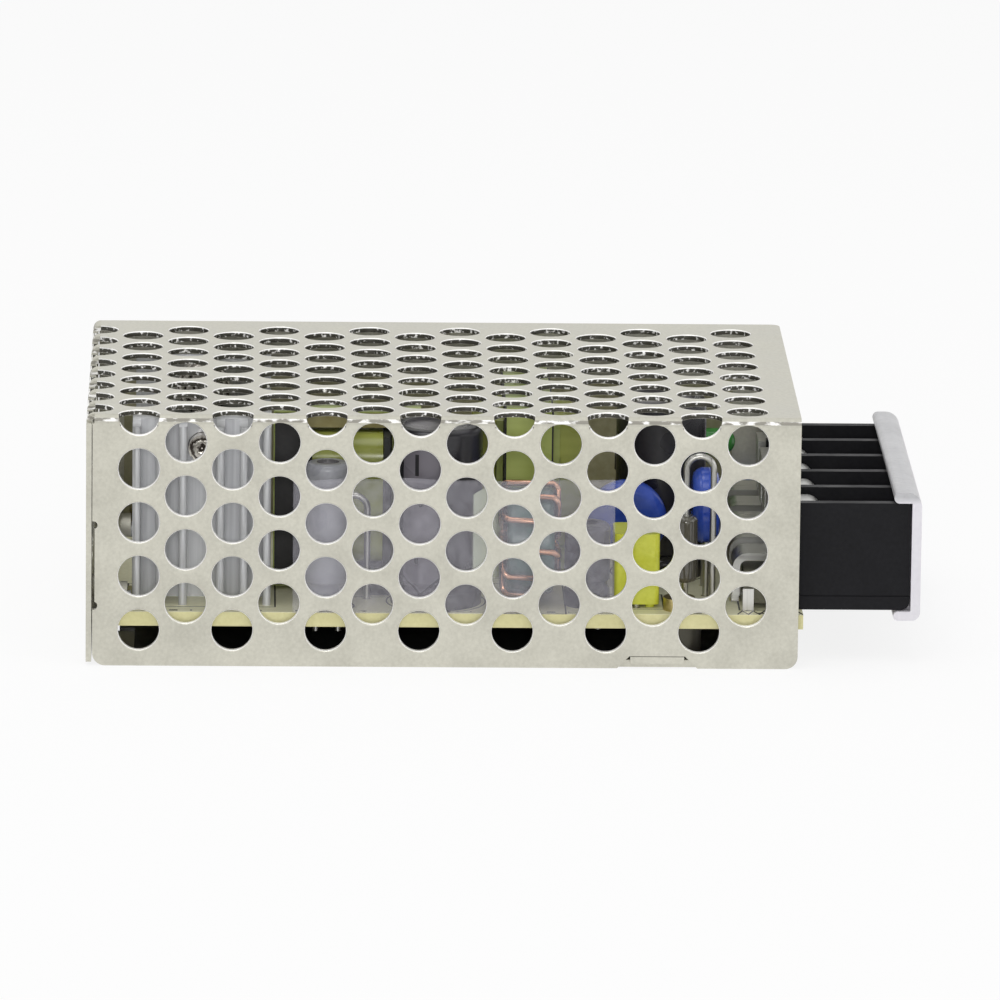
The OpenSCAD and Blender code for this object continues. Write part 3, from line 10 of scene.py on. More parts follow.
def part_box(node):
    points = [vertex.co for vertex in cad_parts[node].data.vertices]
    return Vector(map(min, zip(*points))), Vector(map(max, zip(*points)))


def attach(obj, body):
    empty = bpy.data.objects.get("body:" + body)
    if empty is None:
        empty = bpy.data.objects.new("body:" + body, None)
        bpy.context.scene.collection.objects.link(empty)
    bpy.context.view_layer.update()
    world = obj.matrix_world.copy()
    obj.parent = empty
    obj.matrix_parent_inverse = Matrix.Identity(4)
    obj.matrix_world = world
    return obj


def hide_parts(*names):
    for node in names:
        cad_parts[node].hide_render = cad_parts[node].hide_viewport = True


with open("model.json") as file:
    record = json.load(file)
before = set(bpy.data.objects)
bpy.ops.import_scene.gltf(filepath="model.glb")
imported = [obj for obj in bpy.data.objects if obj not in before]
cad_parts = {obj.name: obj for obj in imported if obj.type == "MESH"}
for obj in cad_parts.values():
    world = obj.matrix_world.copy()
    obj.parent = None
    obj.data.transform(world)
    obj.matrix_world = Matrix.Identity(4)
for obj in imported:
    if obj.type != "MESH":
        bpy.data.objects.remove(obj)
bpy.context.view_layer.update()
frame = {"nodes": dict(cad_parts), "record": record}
nodes = frame["nodes"]
scene = bpy.context.scene
MM = 0.001
SHEET = 0.6 * MM  # thickness of the cover's sheet
BEND = 0.9 * MM  # outer radius of its bends
RIM = 0.14 * MM  # rolled edge round each punched hole
SKIN = 0.02 * MM  # a hair: where a sheet's edge begins, how far the film and the floor are set back
TRIM = 0.05 * MM  # reach of the sheet's own cut edges
STRIP_HALF = 2.67 * MM  # half width of the tape strip over the choke's core
FILM = 0.06 * MM  # thickness of the side film
FILM_STRIP_LEFT = (3.1 * MM, 3.4 * MM)  # soft sides of the pale strip of painted light on the film
FILM_STRIP_RIGHT = (5.2 * MM, 6.4 * MM)
FILM_STRIP_FOOT = (8.8 * MM, 10.2 * MM)
FILM_STRIP_TOP = 17.3 * MM  # its upper end where X is nought, rising by the slope
FILM_STRIP_SLOPE = 0.6
FILM_STRIP_ALPHA = 0.38
MARK_PITCH = 9.9 * MM  # repeat of the marks in a polarity stripe
MARK_START = 1.1 * MM
STRIPE_END = 1.2 * MM  # the stripe stops this far under the can's top
SLEEVE_RIM = 1.25 * MM  # width of the sleeve turned over the can's top
BAR_LENGTH = 2.4 * MM  # upright bar of a mark
ARROW_AT = 6.5 * MM  # tip of a mark's chevron
ARROW_SLOPE = 0.075 * MM  # rise of the chevron's arms for each degree
ARROW_HALF = 0.16 * MM
PRINT_LINE = 0.09 * MM  # half width of a printed outline on the board
TICK_PITCH = 2.3 * MM  # row of ticks along the board's front edge
TICK_ROW = -23.7 * MM
TICK_SHARE = 0.4
TICK_HALF = 0.22 * MM
ZIGZAG_STEP = 0.6 * MM  # zigzag at the board's front right corner
ZIGZAG_ROW = -24.2 * MM
ZIGZAG_HEIGHT = 1.6 * MM
ZIGZAG_HALF = 0.3 * MM
ZIGZAG_FROM = 32.4 * MM
TOROID_BORE = 0.51  # bore of the ring core, as a share of its outside
FINE = 0.02 * MM  # bump depth of grain, lines and thin coats
MIDDLE = (0, 0, 0.014)  # middle of the case, where the camera and two lamps point


# Node tools


def srgb(red, green, blue):
    """A colour as the eye sees it on screen, 0 to 255, turned into the shader's linear values."""
    def linear(value):
        value = value / 255
        return value / 12.92 if value <= 0.04045 else ((value + 0.055) / 1.055) ** 2.4
    return (linear(red), linear(green), linear(blue), 1.0)


def add(tree, kind, settings=None, **links):
    """One shader node: settings go to its inputs or its own options, links feed its inputs."""
    made = tree.nodes.new("ShaderNode" + kind)
    for key, value in (settings or {}).items():
        if isinstance(key, int) or key in made.inputs:
            made.inputs[key].default_value = value
        else:
            setattr(made, key, value)
    for key, source in links.items():
        tree.links.new(source, made.inputs[key.replace("_", " ")])
    return made


def calc(tree, operation, first, second=None, third=None):
    """One math node; each operand is a socket or a number."""
    made = tree.nodes.new("ShaderNodeMath")
    made.operation = operation
    for i, operand in enumerate((first, second, third)):
        if operand is None:
            continue
        if isinstance(operand, (int, float)):
            made.inputs[i].default_value = operand
        else:
            tree.links.new(operand, made.inputs[i])
    return made.outputs[0]


def mix(tree, factor, first, second):
    """One colour mix; the operands are sockets or colours, the factor a socket."""
    made = tree.nodes.new("ShaderNodeMix")
    made.data_type = "RGBA"
    tree.links.new(factor, made.inputs["Factor"])
    for i, operand in ((6, first), (7, second)):
        if isinstance(operand, tuple):
            made.inputs[i].default_value = operand
        else:
            tree.links.new(operand, made.inputs[i])
    return made.outputs[2]


def spread(tree, source, low, high, to_low, to_high):
    """Stretches part of a value's range over another range."""
    made = tree.nodes.new("ShaderNodeMapRange")
    tree.links.new(source, made.inputs["Value"])
    for key, value in (("From Min", low), ("From Max", high), ("To Min", to_low), ("To Max", to_high)):
        if isinstance(value, (int, float)):
            made.inputs[key].default_value = value
        else:
            tree.links.new(value, made.inputs[key])
    return made.outputs["Result"]


def between(tree, value, low, high):
    """1 where a value lies between two limits, else 0."""
    over = calc(tree, "GREATER_THAN", value, low)
    return calc(tree, "MULTIPLY", over, calc(tree, "LESS_THAN", value, high))


def close_to(tree, value, target, reach):
    """1 where a value is within reach of a target, else 0."""
    off = calc(tree, "ABSOLUTE", calc(tree, "SUBTRACT", value, target))
    return calc(tree, "LESS_THAN", off, reach)


def radial(tree, first, second):
    """Distance from an axis, from the two coordinates across it."""
    squares = calc(tree, "ADD", calc(tree, "POWER", first, 2.0), calc(tree, "POWER", second, 2.0))
    return calc(tree, "SQRT", squares)


def seen_directly(tree):
    """1 for rays that the camera sees, straight or by way of gloss and clear pieces, else 0."""
    path = add(tree, "LightPath").outputs
    bent = calc(tree, "MAXIMUM", path["Is Glossy Ray"], path["Is Transmission Ray"])
    return calc(tree, "MAXIMUM", path["Is Camera Ray"], bent)


def new_group(name, inputs, outputs):
    """An empty shader group with named sockets; inputs are (name, kind, value)."""
    group = bpy.data.node_groups.new(name, "ShaderNodeTree")
    for label, kind, value in inputs:
        socket = group.interface.new_socket(label, in_out="INPUT", socket_type="NodeSocket" + kind)
        if value is not None:
            socket.default_value = value
    for label, kind in outputs:
        group.interface.new_socket(label, in_out="OUTPUT", socket_type="NodeSocket" + kind)
    entry = group.nodes.new("NodeGroupInput")
    leave = group.nodes.new("NodeGroupOutput")
    return group, entry.outputs, leave.inputs


# Shared effects


def make_grain_group():
    """Fine grain over soft blotches, for sheet metal, mouldings, coatings and board."""
    group, take, give = new_group(
        "Grain over blotches",
        [("Vector", "Vector", None), ("Light", "Color", None), ("Dark", "Color", None),
         ("Grain Size", "Float", 3000.0), ("Blotch Size", "Float", 300.0), ("Blotch Share", "Float", 0.4),
         ("Rough Low", "Float", 0.4), ("Rough High", "Float", 0.6)],
        [("Color", "Color"), ("Roughness", "Float"), ("Height", "Float")])
    fine = add(group, "TexNoise", {"Detail": 3.0, "Roughness": 0.6}, Vector=take["Vector"],
               Scale=take["Grain Size"])
    broad = add(group, "TexNoise", {"Detail": 2.0}, Vector=take["Vector"], Scale=take["Blotch Size"])
    both = add(group, "Mix", {"data_type": "FLOAT"}, Factor=take["Blotch Share"])
    group.links.new(fine.outputs["Fac"], both.inputs[2])
    group.links.new(broad.outputs["Fac"], both.inputs[3])
    even = spread(group, both.outputs[0], 0.32, 0.68, 0.0, 1.0)
    group.links.new(mix(group, even, take["Dark"], take["Light"]), give["Color"])
    group.links.new(spread(group, broad.outputs["Fac"], 0.3, 0.7, take["Rough Low"], take["Rough High"]),
                    give["Roughness"])
    group.links.new(fine.outputs["Fac"], give["Height"])
    return group


def make_lines_group():
    """Long fine lines along the mapped X axis, for drawn wire, extruded metal and turned metal."""
    group, take, give = new_group(
        "Drawn lines",
        [("Vector", "Vector", None), ("Light", "Color", None), ("Dark", "Color", None),
         ("Line Size", "Float", 2500.0), ("Stretch", "Float", 0.02), ("Rough Low", "Float", 0.25),
         ("Rough High", "Float", 0.45)],
        [("Color", "Color"), ("Roughness", "Float"), ("Height", "Float")])
    parts = add(group, "SeparateXYZ", Vector=take["Vector"])
    along = calc(group, "MULTIPLY", parts.outputs["X"], take["Stretch"])
    long = add(group, "CombineXYZ", X=along, Y=parts.outputs["Y"], Z=parts.outputs["Z"])
    lines = add(group, "TexNoise", {"Detail": 4.0, "Roughness": 0.65}, Vector=long.outputs[0],
                Scale=take["Line Size"])
    even = spread(group, lines.outputs["Fac"], 0.3, 0.7, 0.0, 1.0)
    group.links.new(mix(group, even, take["Dark"], take["Light"]), give["Color"])
    group.links.new(spread(group, lines.outputs["Fac"], 0.3, 0.7, take["Rough Low"], take["Rough High"]),
                    give["Roughness"])
    group.links.new(lines.outputs["Fac"], give["Height"])
    return group


def make_tape_group():
    """Layers of adhesive tape: soft bands across the mapped Z axis, each a little uneven."""
    group, take, give = new_group(
        "Tape layers",
        [("Vector", "Vector", None), ("Light", "Color", None), ("Dark", "Color", None),
         ("Layer Size", "Float", 500.0)],
        [("Color", "Color"), ("Roughness", "Float"), ("Height", "Float")])
    parts = add(group, "SeparateXYZ", Vector=take["Vector"])
    slow = calc(group, "MULTIPLY", parts.outputs["X"], 0.06)
    slow_y = calc(group, "MULTIPLY", parts.outputs["Y"], 0.06)
    flat = add(group, "CombineXYZ", X=slow, Y=slow_y, Z=parts.outputs["Z"])
    layers = add(group, "TexNoise", {"Detail": 2.0}, Vector=flat.outputs[0], Scale=take["Layer Size"])
    film = add(group, "TexNoise", {"Scale": 260.0, "Detail": 2.0}, Vector=take["Vector"])
    tone = calc(group, "ADD", calc(group, "MULTIPLY", layers.outputs["Fac"], 0.7),
                calc(group, "MULTIPLY", film.outputs["Fac"], 0.3))
    even = spread(group, tone, 0.35, 0.65, 0.0, 1.0)
    group.links.new(mix(group, even, take["Dark"], take["Light"]), give["Color"])
    group.links.new(spread(group, film.outputs["Fac"], 0.3, 0.7, 0.22, 0.4), give["Roughness"])
    group.links.new(tone, give["Height"])
    return group


def make_ring_group():
    """Mask of a printed ring round the mapped Z axis."""
    group, take, give = new_group(
        "Printed ring", [("Vector", "Vector", None), ("Radius", "Float", 0.005), ("Line", "Float", 0.0001)],
        [("Mask", "Float")])
    parts = add(group, "SeparateXYZ", Vector=take["Vector"])
    reach = radial(group, parts.outputs["X"], parts.outputs["Y"])
    group.links.new(close_to(group, reach, take["Radius"], take["Line"]), give["Mask"])
    return group


def make_frame_group():
    """Mask of a printed rectangle round the mapped Z axis."""
    group, take, give = new_group(
        "Printed frame",
        [("Vector", "Vector", None), ("Half X", "Float", 0.005), ("Half Y", "Float", 0.005),
         ("Line", "Float", 0.0001)],
        [("Mask", "Float")])
    parts = add(group, "SeparateXYZ", Vector=take["Vector"])
    past_x = calc(group, "SUBTRACT", calc(group, "ABSOLUTE", parts.outputs["X"]), take["Half X"])
    past_y = calc(group, "SUBTRACT", calc(group, "ABSOLUTE", parts.outputs["Y"]), take["Half Y"])
    past = calc(group, "MAXIMUM", past_x, past_y)
    group.links.new(close_to(group, past, 0.0, take["Line"]), give["Mask"])
    return group


GRAIN = make_grain_group()
LINES = make_lines_group()
TAPE = make_tape_group()
RING = make_ring_group()
FRAME = make_frame_group()


# Materials


def start(name, **sockets):
    """A new material: its tree, its Principled shader and the object coordinates."""
    material = bpy.data.materials.new(name)
    material.use_nodes = True
    tree = material.node_tree
    shader = tree.nodes["Principled BSDF"]
    for key, value in sockets.items():
        shader.inputs[key.replace("_", " ")].default_value = value
    place = add(tree, "TexCoord").outputs["Object"]
    return material, tree, shader, place


def effect(tree, group, vector, **values):
    """Places a shared effect; values are numbers, colours or sockets."""
    made = tree.nodes.new("ShaderNodeGroup")
    made.node_tree = group
    tree.links.new(vector, made.inputs["Vector"])
    for key, value in values.items():
        socket = made.inputs[key.replace("_", " ")]
        if isinstance(value, (int, float, tuple)):
            socket.default_value = value
        else:
            tree.links.new(value, socket)
    return made.outputs


def mapped(tree, vector, place=(0, 0, 0), turn=(0, 0, 0)):
    """Object coordinates centred on a place and turned, in metres and degrees."""
    made = add(tree, "Mapping", {"vector_type": "TEXTURE"}, Vector=vector)
    made.inputs["Location"].default_value = place
    made.inputs["Rotation"].default_value = [math.radians(a) for a in turn]
    return made.outputs[0]


def join(tree, shader, color=None, rough=None, height=None, strength=0.1, depth=FINE):
    """Feeds the shader's colour, roughness and bump."""
    if color is not None:
        tree.links.new(color, shader.inputs["Base Color"])
    if rough is not None:
        tree.links.new(rough, shader.inputs["Roughness"])
    if height is not None:
        bump = add(tree, "Bump", {"Strength": strength, "Distance": depth}, Height=height)
        tree.links.new(bump.outputs[0], shader.inputs["Normal"])


def grained(name, light, dark, rough=(0.4, 0.6), grain=3000.0, blotch=300.0, share=0.4, bump=0.1,
            depth=FINE, **sockets):
    """A plain moulded, coated or rolled surface with grain and blotches."""
    material, tree, shader, place = start(name, **sockets)
    out = effect(tree, GRAIN, place, Light=light, Dark=dark, Grain_Size=grain, Blotch_Size=blotch,
                 Blotch_Share=share, Rough_Low=rough[0], Rough_High=rough[1])
    join(tree, shader, out["Color"], out["Roughness"], out["Height"], bump, depth)
    return material


def coated_sheet(name, light, dark, bare, sheared_and_shade, crest_shade):
    """Coated sheet of the cover: rolled rims and front hole walls painted pale as painted highlight, other
    hole walls dark cut steel with painted shade and specks of painted glint, dull bends with painted shade
    and glints along the crest.
    """
    material, tree, shader, place = start(name)
    low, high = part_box("perforated_cover")
    out = effect(tree, GRAIN, place, Light=light, Dark=dark, Grain_Size=2600.0, Blotch_Size=260.0,
                 Blotch_Share=0.35, Rough_Low=0.34, Rough_High=0.46)
    parts = add(tree, "SeparateXYZ", Vector=place)
    front = calc(tree, "SUBTRACT", parts.outputs["Y"], low.y)
    top = calc(tree, "SUBTRACT", high.z, parts.outputs["Z"])
    end = calc(tree, "SUBTRACT", parts.outputs["X"], low.x)
    nearer = calc(tree, "MINIMUM", front, top)
    farther = calc(tree, "MAXIMUM", front, top)
    depth = calc(tree, "MINIMUM", nearer, end)
    second = calc(tree, "MAXIMUM", nearer, calc(tree, "MINIMUM", farther, end))
    inside = between(tree, depth, SKIN, SHEET - SKIN)
    flat = calc(tree, "GREATER_THAN", second, BEND)
    trimmed = calc(tree, "MAXIMUM", calc(tree, "GREATER_THAN", parts.outputs["X"], high.x - TRIM),
                   calc(tree, "GREATER_THAN", parts.outputs["Y"], high.y - TRIM))
    untrimmed = calc(tree, "SUBTRACT", 1.0, trimmed)
    edge = calc(tree, "MULTIPLY", calc(tree, "MULTIPLY", inside, flat), untrimmed)
    wall = calc(tree, "MULTIPLY", edge, calc(tree, "GREATER_THAN", depth, RIM))
    wall = calc(tree, "MULTIPLY", wall, calc(tree, "GREATER_THAN", front, depth))
    patchy_noise = add(tree, "TexNoise", {"Scale": 2200.0, "Detail": 2.0}, Vector=place)
    glint_flecks = spread(tree, patchy_noise.outputs["Fac"], 0.56, 0.68, 0.0, 1.0)
    # Painted highlight: the rolled rims and the front panel's hole walls take the near-white bare colour.
    color = mix(tree, edge, out["Color"], bare)
    # The other hole walls are dark cut steel, darkened further as painted shade and broken by specks of
    # painted glint.
    color = mix(tree, wall, color, mix(tree, glint_flecks, sheared_and_shade, bare))
    # Along each bend's crest: a grey line of painted shade, broken by specks of painted glint in the
    # near-white colour.
    along = add(tree, "Mapping", Vector=place)
    along.inputs["Scale"].default_value = (0.4, 0.4, 1.0)
    glint_noise = add(tree, "TexNoise", {"Scale": 2000.0, "Detail": 3.0}, Vector=along.outputs[0])
    bend = calc(tree, "MULTIPLY", calc(tree, "SUBTRACT", 1.0, flat), calc(tree, "LESS_THAN", top, BEND))
    crest = calc(tree, "MULTIPLY", close_to(tree, top, 0.55 * BEND, 0.2 * BEND), bend)
    glint = spread(tree, glint_noise.outputs["Fac"], 0.46, 0.58, 0.0, 1.0)
    color = mix(tree, crest, color, mix(tree, glint, crest_shade, bare))
    rough = calc(tree, "MAXIMUM", out["Roughness"], calc(tree, "MULTIPLY", bend, 0.7))
    plain = calc(tree, "SUBTRACT", 1.0, calc(tree, "MAXIMUM", bend, edge))
    tree.links.new(spread(tree, plain, 0.0, 1.0, 0.3, 0.85), shader.inputs["Metallic"])
    join(tree, shader, color, rough, out["Height"], 0.12)
    return material


def lined(name, light, dark, turn=(0, 0, 0), rough=(0.25, 0.45), size=2500.0, stretch=0.02, bump=0.15,
          **sockets):
    """Drawn, extruded or turned metal with fine lines."""
    material, tree, shader, place = start(name, **sockets)
    out = effect(tree, LINES, mapped(tree, place, turn=turn), Light=light, Dark=dark, Line_Size=size,
                 Stretch=stretch, Rough_Low=rough[0], Rough_High=rough[1])
    join(tree, shader, out["Color"], out["Roughness"], out["Height"], bump)
    return material


def taped(name, light, dark, layer=500.0):
    """Wound adhesive tape in horizontal layers."""
    material, tree, shader, place = start(name, Specular_IOR_Level=0.5)
    out = effect(tree, TAPE, place, Light=light, Dark=dark, Layer_Size=layer)
    join(tree, shader, out["Color"], out["Roughness"], out["Height"], 0.25, 0.05 * MM)
    return material


def box_mid(node):
    """Middle and half size of a node's box."""
    low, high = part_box(node)
    return (low + high) / 2, (high - low) / 2


def sleeved(name, node, light, dark, stripe=None, stripe_at=0.0, stripe_half=25.0):
    """Shrink sleeve of an electrolytic can: a bare top inside a dark rim, and a marked polarity stripe."""
    material, tree, shader, place = start(name, Specular_IOR_Level=0.5)
    mid, half = box_mid(node)
    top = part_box(node)[1].z
    local = mapped(tree, place, place=(mid.x, mid.y, 0))
    out = effect(tree, GRAIN, place, Light=light, Dark=dark, Grain_Size=1400.0, Blotch_Size=220.0,
                 Blotch_Share=0.6, Rough_Low=0.22, Rough_High=0.36)
    color = out["Color"]
    parts = add(tree, "SeparateXYZ", Vector=local)
    x, y, z = (parts.outputs[a] for a in "XYZ")
    if stripe is not None:
        angle = calc(tree, "DEGREES", calc(tree, "ARCTAN2", y, x))
        away = calc(tree, "ABSOLUTE", calc(tree, "SUBTRACT", angle, stripe_at))
        on_stripe = calc(tree, "LESS_THAN", away, stripe_half)
        below = calc(tree, "LESS_THAN", z, top - STRIPE_END)
        color = mix(tree, calc(tree, "MULTIPLY", on_stripe, below), color, stripe)
        near = close_to(tree, angle, stripe_at - stripe_half * 0.2, stripe_half * 0.1)
        count = calc(tree, "DIVIDE", calc(tree, "SUBTRACT", z, MARK_START), MARK_PITCH)
        beat = calc(tree, "MULTIPLY", calc(tree, "FRACT", count), MARK_PITCH)
        bar = calc(tree, "MULTIPLY", near, calc(tree, "LESS_THAN", beat, BAR_LENGTH))
        arm = calc(tree, "ADD", calc(tree, "MULTIPLY", away, ARROW_SLOPE), ARROW_AT)
        arrow = calc(tree, "MULTIPLY", close_to(tree, beat, arm, ARROW_HALF), on_stripe)
        color = mix(tree, calc(tree, "MULTIPLY", calc(tree, "MAXIMUM", bar, arrow), below), color, dark)
    reach = radial(tree, x, y)
    bare = calc(tree, "MULTIPLY", calc(tree, "LESS_THAN", reach, half.x - SLEEVE_RIM),
                calc(tree, "GREATER_THAN", z, top - 0.5 * MM))
    color = mix(tree, bare, color, srgb(118, 116, 118))
    join(tree, shader, color, out["Roughness"], out["Height"], 0.06)
    return material


def printed_board(name):
    """Pale laminate with dark printed outlines round the parts, on the top face only; the top face is also
    painted paler as painted light.
    """
    material, tree, shader, place = start(name)
    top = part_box("circuit_board")[1].z
    out = effect(tree, GRAIN, place, Light=srgb(226, 221, 170), Dark=srgb(212, 206, 150), Grain_Size=1800.0,
                 Blotch_Size=160.0, Rough_Low=0.4, Rough_High=0.55)
    ring_gap = 0.45 * MM
    frame_gap = 0.5 * MM
    mask = None
    for node in ("input_capacitor", "filter_capacitor", "small_capacitor", "drum_core"):
        mid, half = box_mid(node)
        ring = effect(tree, RING, mapped(tree, place, place=(mid.x, mid.y, 0)), Radius=half.x + ring_gap,
                      Line=PRINT_LINE)["Mask"]
        mask = ring if mask is None else calc(tree, "MAXIMUM", mask, ring)
    for node in ("film_capacitor", "optocoupler", "control_chip", "fuse", "transformer_former",
                 "choke_former", "heatsink", "plate_heatsink", "trimmer_body", "toroid_winding"):
        mid, half = box_mid(node)
        line = effect(tree, FRAME, mapped(tree, place, place=(mid.x, mid.y, 0)), Half_X=half.x + frame_gap,
                      Half_Y=half.y + frame_gap, Line=PRINT_LINE)["Mask"]
        mask = calc(tree, "MAXIMUM", mask, line)
    parts = add(tree, "SeparateXYZ", Vector=place)
    x, y, z = (parts.outputs[a] for a in "XYZ")
    tick_x = calc(tree, "LESS_THAN", calc(tree, "FRACT", calc(tree, "DIVIDE", x, TICK_PITCH)), TICK_SHARE)
    tick_y = close_to(tree, y, TICK_ROW, TICK_HALF)
    broken = add(tree, "TexNoise", {"Scale": 330.0}, Vector=place)
    tick = calc(tree, "MULTIPLY", calc(tree, "MULTIPLY", tick_x, tick_y),
                calc(tree, "GREATER_THAN", broken.outputs["Fac"], 0.52))
    mask = calc(tree, "MAXIMUM", mask, tick)
    swing = calc(tree, "PINGPONG", calc(tree, "DIVIDE", x, ZIGZAG_STEP), 1.0)
    across = calc(tree, "SUBTRACT", y, ZIGZAG_ROW)
    zigzag = close_to(tree, across, calc(tree, "MULTIPLY", swing, ZIGZAG_HEIGHT), ZIGZAG_HALF)
    zigzag = calc(tree, "MULTIPLY", zigzag, calc(tree, "GREATER_THAN", x, ZIGZAG_FROM))
    mask = calc(tree, "MAXIMUM", mask, zigzag)
    up = calc(tree, "GREATER_THAN", z, top - 0.03 * MM)
    # Painted light: the top face is painted paler than the board's edges, as if well lit.
    lit_top = effect(tree, GRAIN, place, Light=srgb(246, 244, 212), Dark=srgb(234, 231, 194),
                  Grain_Size=1800.0, Blotch_Size=160.0)
    color = mix(tree, up, out["Color"], lit_top["Color"])
    color = mix(tree, calc(tree, "MULTIPLY", mask, up), color, srgb(48, 46, 44))
    join(tree, shader, color, out["Roughness"], out["Height"], 0.08)
    return material


def banded_resistor(name, node, axis, bands):
    """Resistor coating with rings of colour across its length; bands are (place, half width, colour)."""
    material, tree, shader, place = start(name)
    mid = box_mid(node)[0]
    out = effect(tree, GRAIN, place, Light=srgb(150, 178, 186), Dark=srgb(128, 158, 168), Grain_Size=2600.0,
                 Rough_Low=0.3, Rough_High=0.45)
    parts = add(tree, "SeparateXYZ", Vector=mapped(tree, place, place=tuple(mid)))
    color = out["Color"]
    for at, wide, ring in bands:
        off = calc(tree, "ABSOLUTE", calc(tree, "SUBTRACT", parts.outputs[axis], at * MM))
        color = mix(tree, calc(tree, "LESS_THAN", off, wide * MM), color, ring)
    join(tree, shader, color, out["Roughness"], out["Height"], 0.08)
    return material


BANDS = [(-2.0, 0.3, srgb(110, 62, 40)), (-1.0, 0.3, srgb(34, 32, 32)), (0.0, 0.3, srgb(176, 52, 44)),
         (1.8, 0.3, srgb(178, 146, 70))]


def make_film():
    """Hazy see-through film with faint cloud, and a pale strip of painted light beside the large capacitor.
    """
    material, tree, shader, place = start("hazy_film", Specular_IOR_Level=0.5)
    out = effect(tree, GRAIN, place, Light=srgb(232, 230, 240), Dark=srgb(208, 206, 218), Grain_Size=900.0,
                 Blotch_Size=120.0, Blotch_Share=0.7, Rough_Low=0.18, Rough_High=0.3)
    haze = spread(tree, out["Height"], 0.3, 0.7, 0.11, 0.165)
    parts = add(tree, "SeparateXYZ", Vector=place)
    x, z = parts.outputs["X"], parts.outputs["Z"]
    # Painted light: a pale, less clear strip on the film beside the large capacitor.
    strip = calc(tree, "MULTIPLY", spread(tree, x, *FILM_STRIP_LEFT, 0.0, 1.0),
                 spread(tree, x, *FILM_STRIP_RIGHT, 1.0, 0.0))
    slant = calc(tree, "ADD", calc(tree, "MULTIPLY", x, FILM_STRIP_SLOPE), FILM_STRIP_TOP)
    strip = calc(tree, "MULTIPLY", strip, calc(tree, "LESS_THAN", z, slant))
    strip = calc(tree, "MULTIPLY", strip, spread(tree, z, *FILM_STRIP_FOOT, 0.0, 1.0))
    alpha = calc(tree, "MAXIMUM", haze, calc(tree, "MULTIPLY", strip, FILM_STRIP_ALPHA))
    tree.links.new(alpha, shader.inputs["Alpha"])
    color = mix(tree, strip, out["Color"], srgb(228, 232, 222))
    join(tree, shader, color, out["Roughness"], out["Height"], 0.1, 0.03 * MM)
    return material


def make_chassis_sheet():
    """Coated sheet of the chassis, with painted shade inside under the board."""
    material, tree, shader, place = start("chassis_sheet", Metallic=0.85)
    low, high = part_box("chassis")
    out = effect(tree, GRAIN, place, Light=srgb(200, 198, 186), Dark=srgb(184, 182, 170), Grain_Size=2600.0,
                 Blotch_Size=260.0, Blotch_Share=0.35, Rough_Low=0.36, Rough_High=0.48)
    parts = add(tree, "SeparateXYZ", Vector=place)
    lip = 0.9 * MM
    within = between(tree, parts.outputs["Y"], low.y + lip, high.y - lip)
    within = calc(tree, "MULTIPLY", within, calc(tree, "GREATER_THAN", parts.outputs["X"], low.x + lip))
    under = between(tree, parts.outputs["Z"], 0.85 * MM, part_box("circuit_board")[0].z + 0.1 * MM)
    # Painted shade: surfaces inside under the board are painted dark.
    color = mix(tree, calc(tree, "MULTIPLY", within, under), out["Color"], srgb(74, 72, 64))
    join(tree, shader, color, out["Roughness"], out["Height"], 0.12)
    return material


def make_insulator():
    """Insulating sheet: black over the floor, its turned-up flap painted olive as painted light reflected
    from the yellow board.
    """
    material, tree, shader, place = start("insulating_sheet")
    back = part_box("base_insulator")[1].y
    out = effect(tree, GRAIN, place, Light=srgb(30, 31, 34), Dark=srgb(20, 21, 23), Rough_Low=0.35,
                 Rough_High=0.5)
    # Painted reflected light: the flap is painted olive as if lit by the yellow board.
    painted_bounce = effect(tree, GRAIN, place, Light=srgb(176, 172, 142), Dark=srgb(154, 150, 120),
                   Grain_Size=1200.0)
    parts = add(tree, "SeparateXYZ", Vector=place)
    flap = calc(tree, "GREATER_THAN", parts.outputs["Y"], back - 0.75 * MM)
    color = mix(tree, flap, out["Color"], painted_bounce["Color"])
    join(tree, shader, color, out["Roughness"], out["Height"], 0.1)
    return material


def make_choke_former():
    """Coil former under green tape, a thin dark line on each side of the strip over the core."""
    material, tree, shader, place = start("taped_former")
    mid = box_mid("choke_former")[0]
    out = effect(tree, TAPE, place, Light=srgb(182, 192, 112), Dark=srgb(158, 170, 88))
    parts = add(tree, "SeparateXYZ", Vector=mapped(tree, place, place=(mid.x, mid.y, 0)))
    aside = calc(tree, "ABSOLUTE", parts.outputs["X"])
    line = close_to(tree, aside, STRIP_HALF, 0.11 * MM)
    color = mix(tree, line, out["Color"], srgb(34, 36, 26))
    join(tree, shader, color, out["Roughness"], out["Height"], 0.2, 0.05 * MM)
    return material


def make_taped_yoke():
    """Ferrite core of the transformer with olive-brown tape round its upper bar."""
    material, tree, shader, place = start("taped_yoke")
    low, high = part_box("transformer_core")
    out = effect(tree, GRAIN, place, Light=srgb(38, 36, 35), Dark=srgb(24, 23, 23), Grain_Size=2600.0,
                 Blotch_Size=500.0, Rough_Low=0.4, Rough_High=0.6)
    tape = effect(tree, GRAIN, place, Light=srgb(184, 176, 128), Dark=srgb(124, 112, 56), Grain_Size=420.0,
                  Blotch_Size=260.0, Blotch_Share=0.6)
    parts = add(tree, "SeparateXYZ", Vector=place)
    bar = 2.4 * MM
    bare_end = 2.9 * MM
    wrapped = calc(tree, "MULTIPLY", calc(tree, "GREATER_THAN", parts.outputs["Z"], high.z - bar),
                   calc(tree, "GREATER_THAN", parts.outputs["X"], low.x + bare_end))
    color = mix(tree, wrapped, out["Color"], tape["Color"])
    join(tree, shader, color, out["Roughness"], out["Height"], 0.15, 0.04 * MM)
    return material


